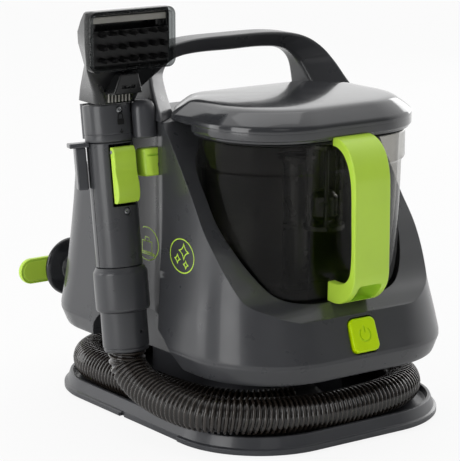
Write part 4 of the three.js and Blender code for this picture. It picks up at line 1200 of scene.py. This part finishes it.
def spray_cover():
    cover = front_prism([
        (WAND_FOOT.x - 15, NECK_Z + 7), (WAND_FOOT.x + 14, NECK_Z + 7),
        (WAND_FOOT.x + 10, HEAD["bottom"] - 3), (WAND_FOOT.x - 8, HEAD["bottom"] - 3),
    ], NECK_Y - 36, NECK_Y - 15)
    slot = block(14, 6, 2.6, WAND_FOOT.x, NECK_Y - 36, NECK_Z + 13)
    outlet = softened(moved(block(5, 4, 1.8), WAND_FOOT.x, NECK_Y - 34.6, NECK_Z + 13.6), 0.5)
    clear = through_rings([
        head_ring(section[0], section[1] + GAP, section[2], section[3] - GAP, *section[4:])
        for section in head_sections()[:3]
    ])
    piece("spray_nozzle", gathered(cut(softened(cover, 1.4), slot, clear), outlet), "black", "nozzle",
          ["spray_tip"])


nozzle_head()
hood()
bristles()
spray_cover()


# ---------------------------------------------------------------- holders for the hand tool
def holders():
    space = on_wand(rod(21.6, -20, 320, 64))
    behind = cut(body_block(), trough(GAP))
    post = moved(turned([
        (0, 181), (9.6, 181), (10.6, 181.5), (11, 182.6), (11, 204), (10.4, 208), (9, 211), (6.6, 213.2),
        (3.5, 214), (0, 214),
    ]), 25, -17)
    web = softened(block(14, 30, 33, 28, 0, 197.5), 2)
    cradle = cut(rod(26, 183, 213, 64), block(80, 60, 60, 0, -36, 197.5), block(60, 80, 60, -42, 0, 197.5))
    bracket = on_wand(joined(cradle, web, post))
    leg = through_rings([
        [Vector((-p.x, p.y, p.z)) for p in hoop_section(*(row + np.array([1, 0, -1, 0, -1, -1, 1])))]
        for row in HOOP[:3]
    ])
    piece("holder_bracket", cut(bracket, behind.copy(), space.copy(), leg), "mid_grey", "body",
          ["tool_holder_bracket"])
    catch = softened(round_block(26, 20, 24, 8), 2.2, 4, 60)
    groove = block(30, 2, 1.6, 0, -9.6, 6)
    slot = block(7, 3, 3.4, 3, -9.6, -3)
    catch = on_wand(moved(cut(catch, groove, slot), 31.5, -15, 160))
    piece("catch_clip", cut(catch, behind, space), "green", "body", ["tool_clip"])


holders()


# ---------------------------------------------------------------- printed marks on the side
def wall_point(along, height, lift):
    """Point on the body's skin: so far round from the front middle towards the hand tool, at a height."""
    half, front, back, front_radius, back_radius = body_size(height)
    corner = rounded_plan(half, front, back, front_radius, back_radius, height, steps=28)[-29:]
    line = [Vector((0, front, height)), *corner[::-1], Vector((-half, 0, height))]
    left = along
    for a, b in zip(line, line[1:]):
        step = (b - a).length
        if left <= step:
            ahead = (b - a) / step
            return a + ahead * left + Vector((ahead.y, -ahead.x, 0)) * -lift
        left -= step
    return line[-1]


def wall_strip(lines, middle, width, lift=0.12):
    """Flat printed lines, given in the plane of the wall about a middle (along, height)."""
    mesh = bmesh.new()
    for line in lines:
        line = [(u * MARK_STRETCH, v) for u, v in line]
        count = len(line)
        left, right = [], []
        for k, (u, v) in enumerate(line):
            u1, v1 = line[(k + 1) % count]
            u0, v0 = line[k - 1]
            ahead = Vector((u1 - u0, v1 - v0)).normalized()
            for side, row in ((0.5, left), (-0.5, right)):
                point = (middle[0] + u - ahead.y * width * side, middle[1] + v + ahead.x * width * side)
                row.append(mesh.verts.new(wall_point(point[0], point[1], lift)))
        for k in range(count):
            mesh.faces.new((left[k], left[(k + 1) % count], right[(k + 1) % count], right[k]))
    bmesh.ops.recalc_face_normals(mesh, faces=mesh.faces)
    return mesh


def star(u, v, size):
    """Four-pointed sparkle as a closed line with hollow sides."""
    points = []
    for k in range(4):
        a, b = pi / 2 * k, pi / 2 * (k + 1)
        tip, end = Vector((cos(a), sin(a))), Vector((cos(b), sin(b)))
        for step in range(6):
            t = step / 6
            p = tip * (1 - t)**2 + (tip + end) * 0.26 * t * (1 - t) + end * t**2
            points.append((u + size * p.x, v + size * 1.15 * p.y))
    return points


def circle(radius, count=48):
    return [(radius * cos(2 * pi * k / count), radius * sin(2 * pi * k / count)) for k in range(count)]


def box_line(u, v, width, height, steps=5):
    corners = [(u, v), (u + width, v), (u + width, v + height), (u, v + height)]
    line = []
    for k, (a, b) in enumerate(corners):
        c, d = corners[(k + 1) % 4]
        line += [(a + (c - a) * t / steps, b + (d - b) * t / steps) for t in range(steps)]
    return line


MARK_RADIUS = 14.0
MARK_STRETCH = 1.25
SPARKLE_AT = (176.0, 155.0)
TANK_MARK_AT = (229.0, 156.0)


def side_marks():
    sparkles = [circle(MARK_RADIUS), star(-2, 4, 6.2), star(5.4, -3.4, 3.6), star(-4.4, -6.6, 3.2)]
    piece("sparkle_mark", wall_strip(sparkles, SPARKLE_AT, 1.0), "green", "body")
    boxes = ((-6, -7, 12, 9), (-2.6, 2, 5, 3.4), (-9, -9, 18, 1.4))
    tank = [circle(MARK_RADIUS), *[box_line(*sides) for sides in boxes]]
    piece("tank_mark", wall_strip(tank, TANK_MARK_AT, 1.0), "green", "body")


side_marks()


# ---------------------------------------------------------------- remaining CAD parts
CAD_FINISH = {
    "base_pan": "black", "body_chassis": "black", "clean_tank_valve": "black", "riser_duct": "black",
    "float_cage": "black", "float": "black", "motor_body": "steel", "motor_fan": "mid_grey",
    "motor_mount_ring": "rubber", "water_pump": "black", "solution_tube": "clear", "suction_duct": "mid_grey",
    "circuit_board": "circuit_board", "power_switch": "black", "spray_valve": "black", "trigger_pin": "steel",
    "tank_port_seal": "rubber", "hose_inlet_connector": "rubber",
}
for node, finish in CAD_FINISH.items():
    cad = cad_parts[node]
    for place in cad.material_slots:
        place.material = FINISH[finish]


# ---------------------------------------------------------------- floor and light
# share of the floor that glows where the camera sees it, or a glossy surface mirrors its far side
FLOOR_GLOW = 0.9


def floor_and_backdrop():
    data = bpy.data.meshes.new("floor")
    size = 6.0
    corners = [(-size, -size, 0), (size, -size, 0), (size, size, 0), (-size, size, 0)]
    data.from_pydata(corners, [], [(0, 1, 2, 3)])
    floor = bpy.data.objects.new("floor", data)
    bpy.context.scene.collection.objects.link(floor)
    material, nodes, links, skin = new_material("floor_white")
    links.new(shaded(nodes, links, (0.93, 0.93, 0.93, 1), 0.01), skin.inputs["Base Color"])
    skin.inputs["Roughness"].default_value = 0.6
    skin.inputs["Specular IOR Level"].default_value = 0.1
    bright = nodes.new("ShaderNodeEmission")
    seen = nodes.new("ShaderNodeLightPath")
    far = toward_back(nodes, links, "Object", 0.0, -0.15, 0.5)
    glossy = computed(nodes, links, "MULTIPLY", seen.outputs["Is Glossy Ray"], far)
    either = computed(nodes, links, "MAXIMUM", seen.outputs["Is Camera Ray"], glossy)
    share = computed(nodes, links, "MULTIPLY", either, FLOOR_GLOW)
    surface = mixed(nodes, links, share, skin.outputs["BSDF"], bright.outputs["Emission"])
    links.new(surface, nodes["Material Output"].inputs["Surface"])
    data.materials.append(material)


def softbox(name, place, aim, width, height, power):
    data = bpy.data.lights.new(name, "AREA")
    data.shape = "RECTANGLE"
    data.size = width
    data.size_y = height
    data.energy = power
    light = bpy.data.objects.new(name, data)
    bpy.context.scene.collection.objects.link(light)
    light.location = place
    light.rotation_euler = (Vector(aim) - Vector(place)).to_track_quat("-Z", "Y").to_euler()


# glow of the room before and behind the machine, and power of the lamps in watts
STUDIO = {
    "front_glow": 0.1, "back_glow": 1.0, "left": 14, "over": 3, "front": 1.5, "rear_left": 4, "rear_right": 5,
}


def studio():
    """Room that is bright behind the machine and dark before it, with five soft lamps."""
    world = bpy.data.worlds.new("studio")
    world.use_nodes = True
    bpy.context.scene.world = world
    nodes, links = world.node_tree.nodes, world.node_tree.links
    background = nodes["Background"]
    background.inputs["Color"].default_value = (1, 1, 1, 1)
    glow = toward_back(
        nodes, links, "Generated", 0.35, -0.35, 0.55, STUDIO["front_glow"], STUDIO["back_glow"],
    )
    seen = nodes.new("ShaderNodeLightPath")
    strength = nodes.new("ShaderNodeMix")
    links.new(seen.outputs["Is Camera Ray"], strength.inputs["Factor"])
    links.new(glow, strength.inputs["A"])
    strength.inputs["B"].default_value = 1.0
    links.new(strength.outputs["Result"], background.inputs["Strength"])
    middle = (0, 0, 0.2)
    softbox("left_strip", (-2.0, -0.3, 0.7), middle, 1.0, 1.6, STUDIO["left"])
    softbox("overhead", (0.1, 0.2, 1.9), middle, 1.4, 1.0, STUDIO["over"])
    softbox("rear_left", (-1.7, 1.3, 0.5), middle, 0.8, 1.0, STUDIO["rear_left"])
    softbox("rear_right", (1.9, 0.8, 0.6), middle, 0.8, 1.0, STUDIO["rear_right"])
    softbox("front_fill", (-0.9, -2.2, 1.3), middle, 1.0, 1.0, STUDIO["front"])


floor_and_backdrop()
studio()
bpy.context.scene.view_settings.view_transform = "Standard"
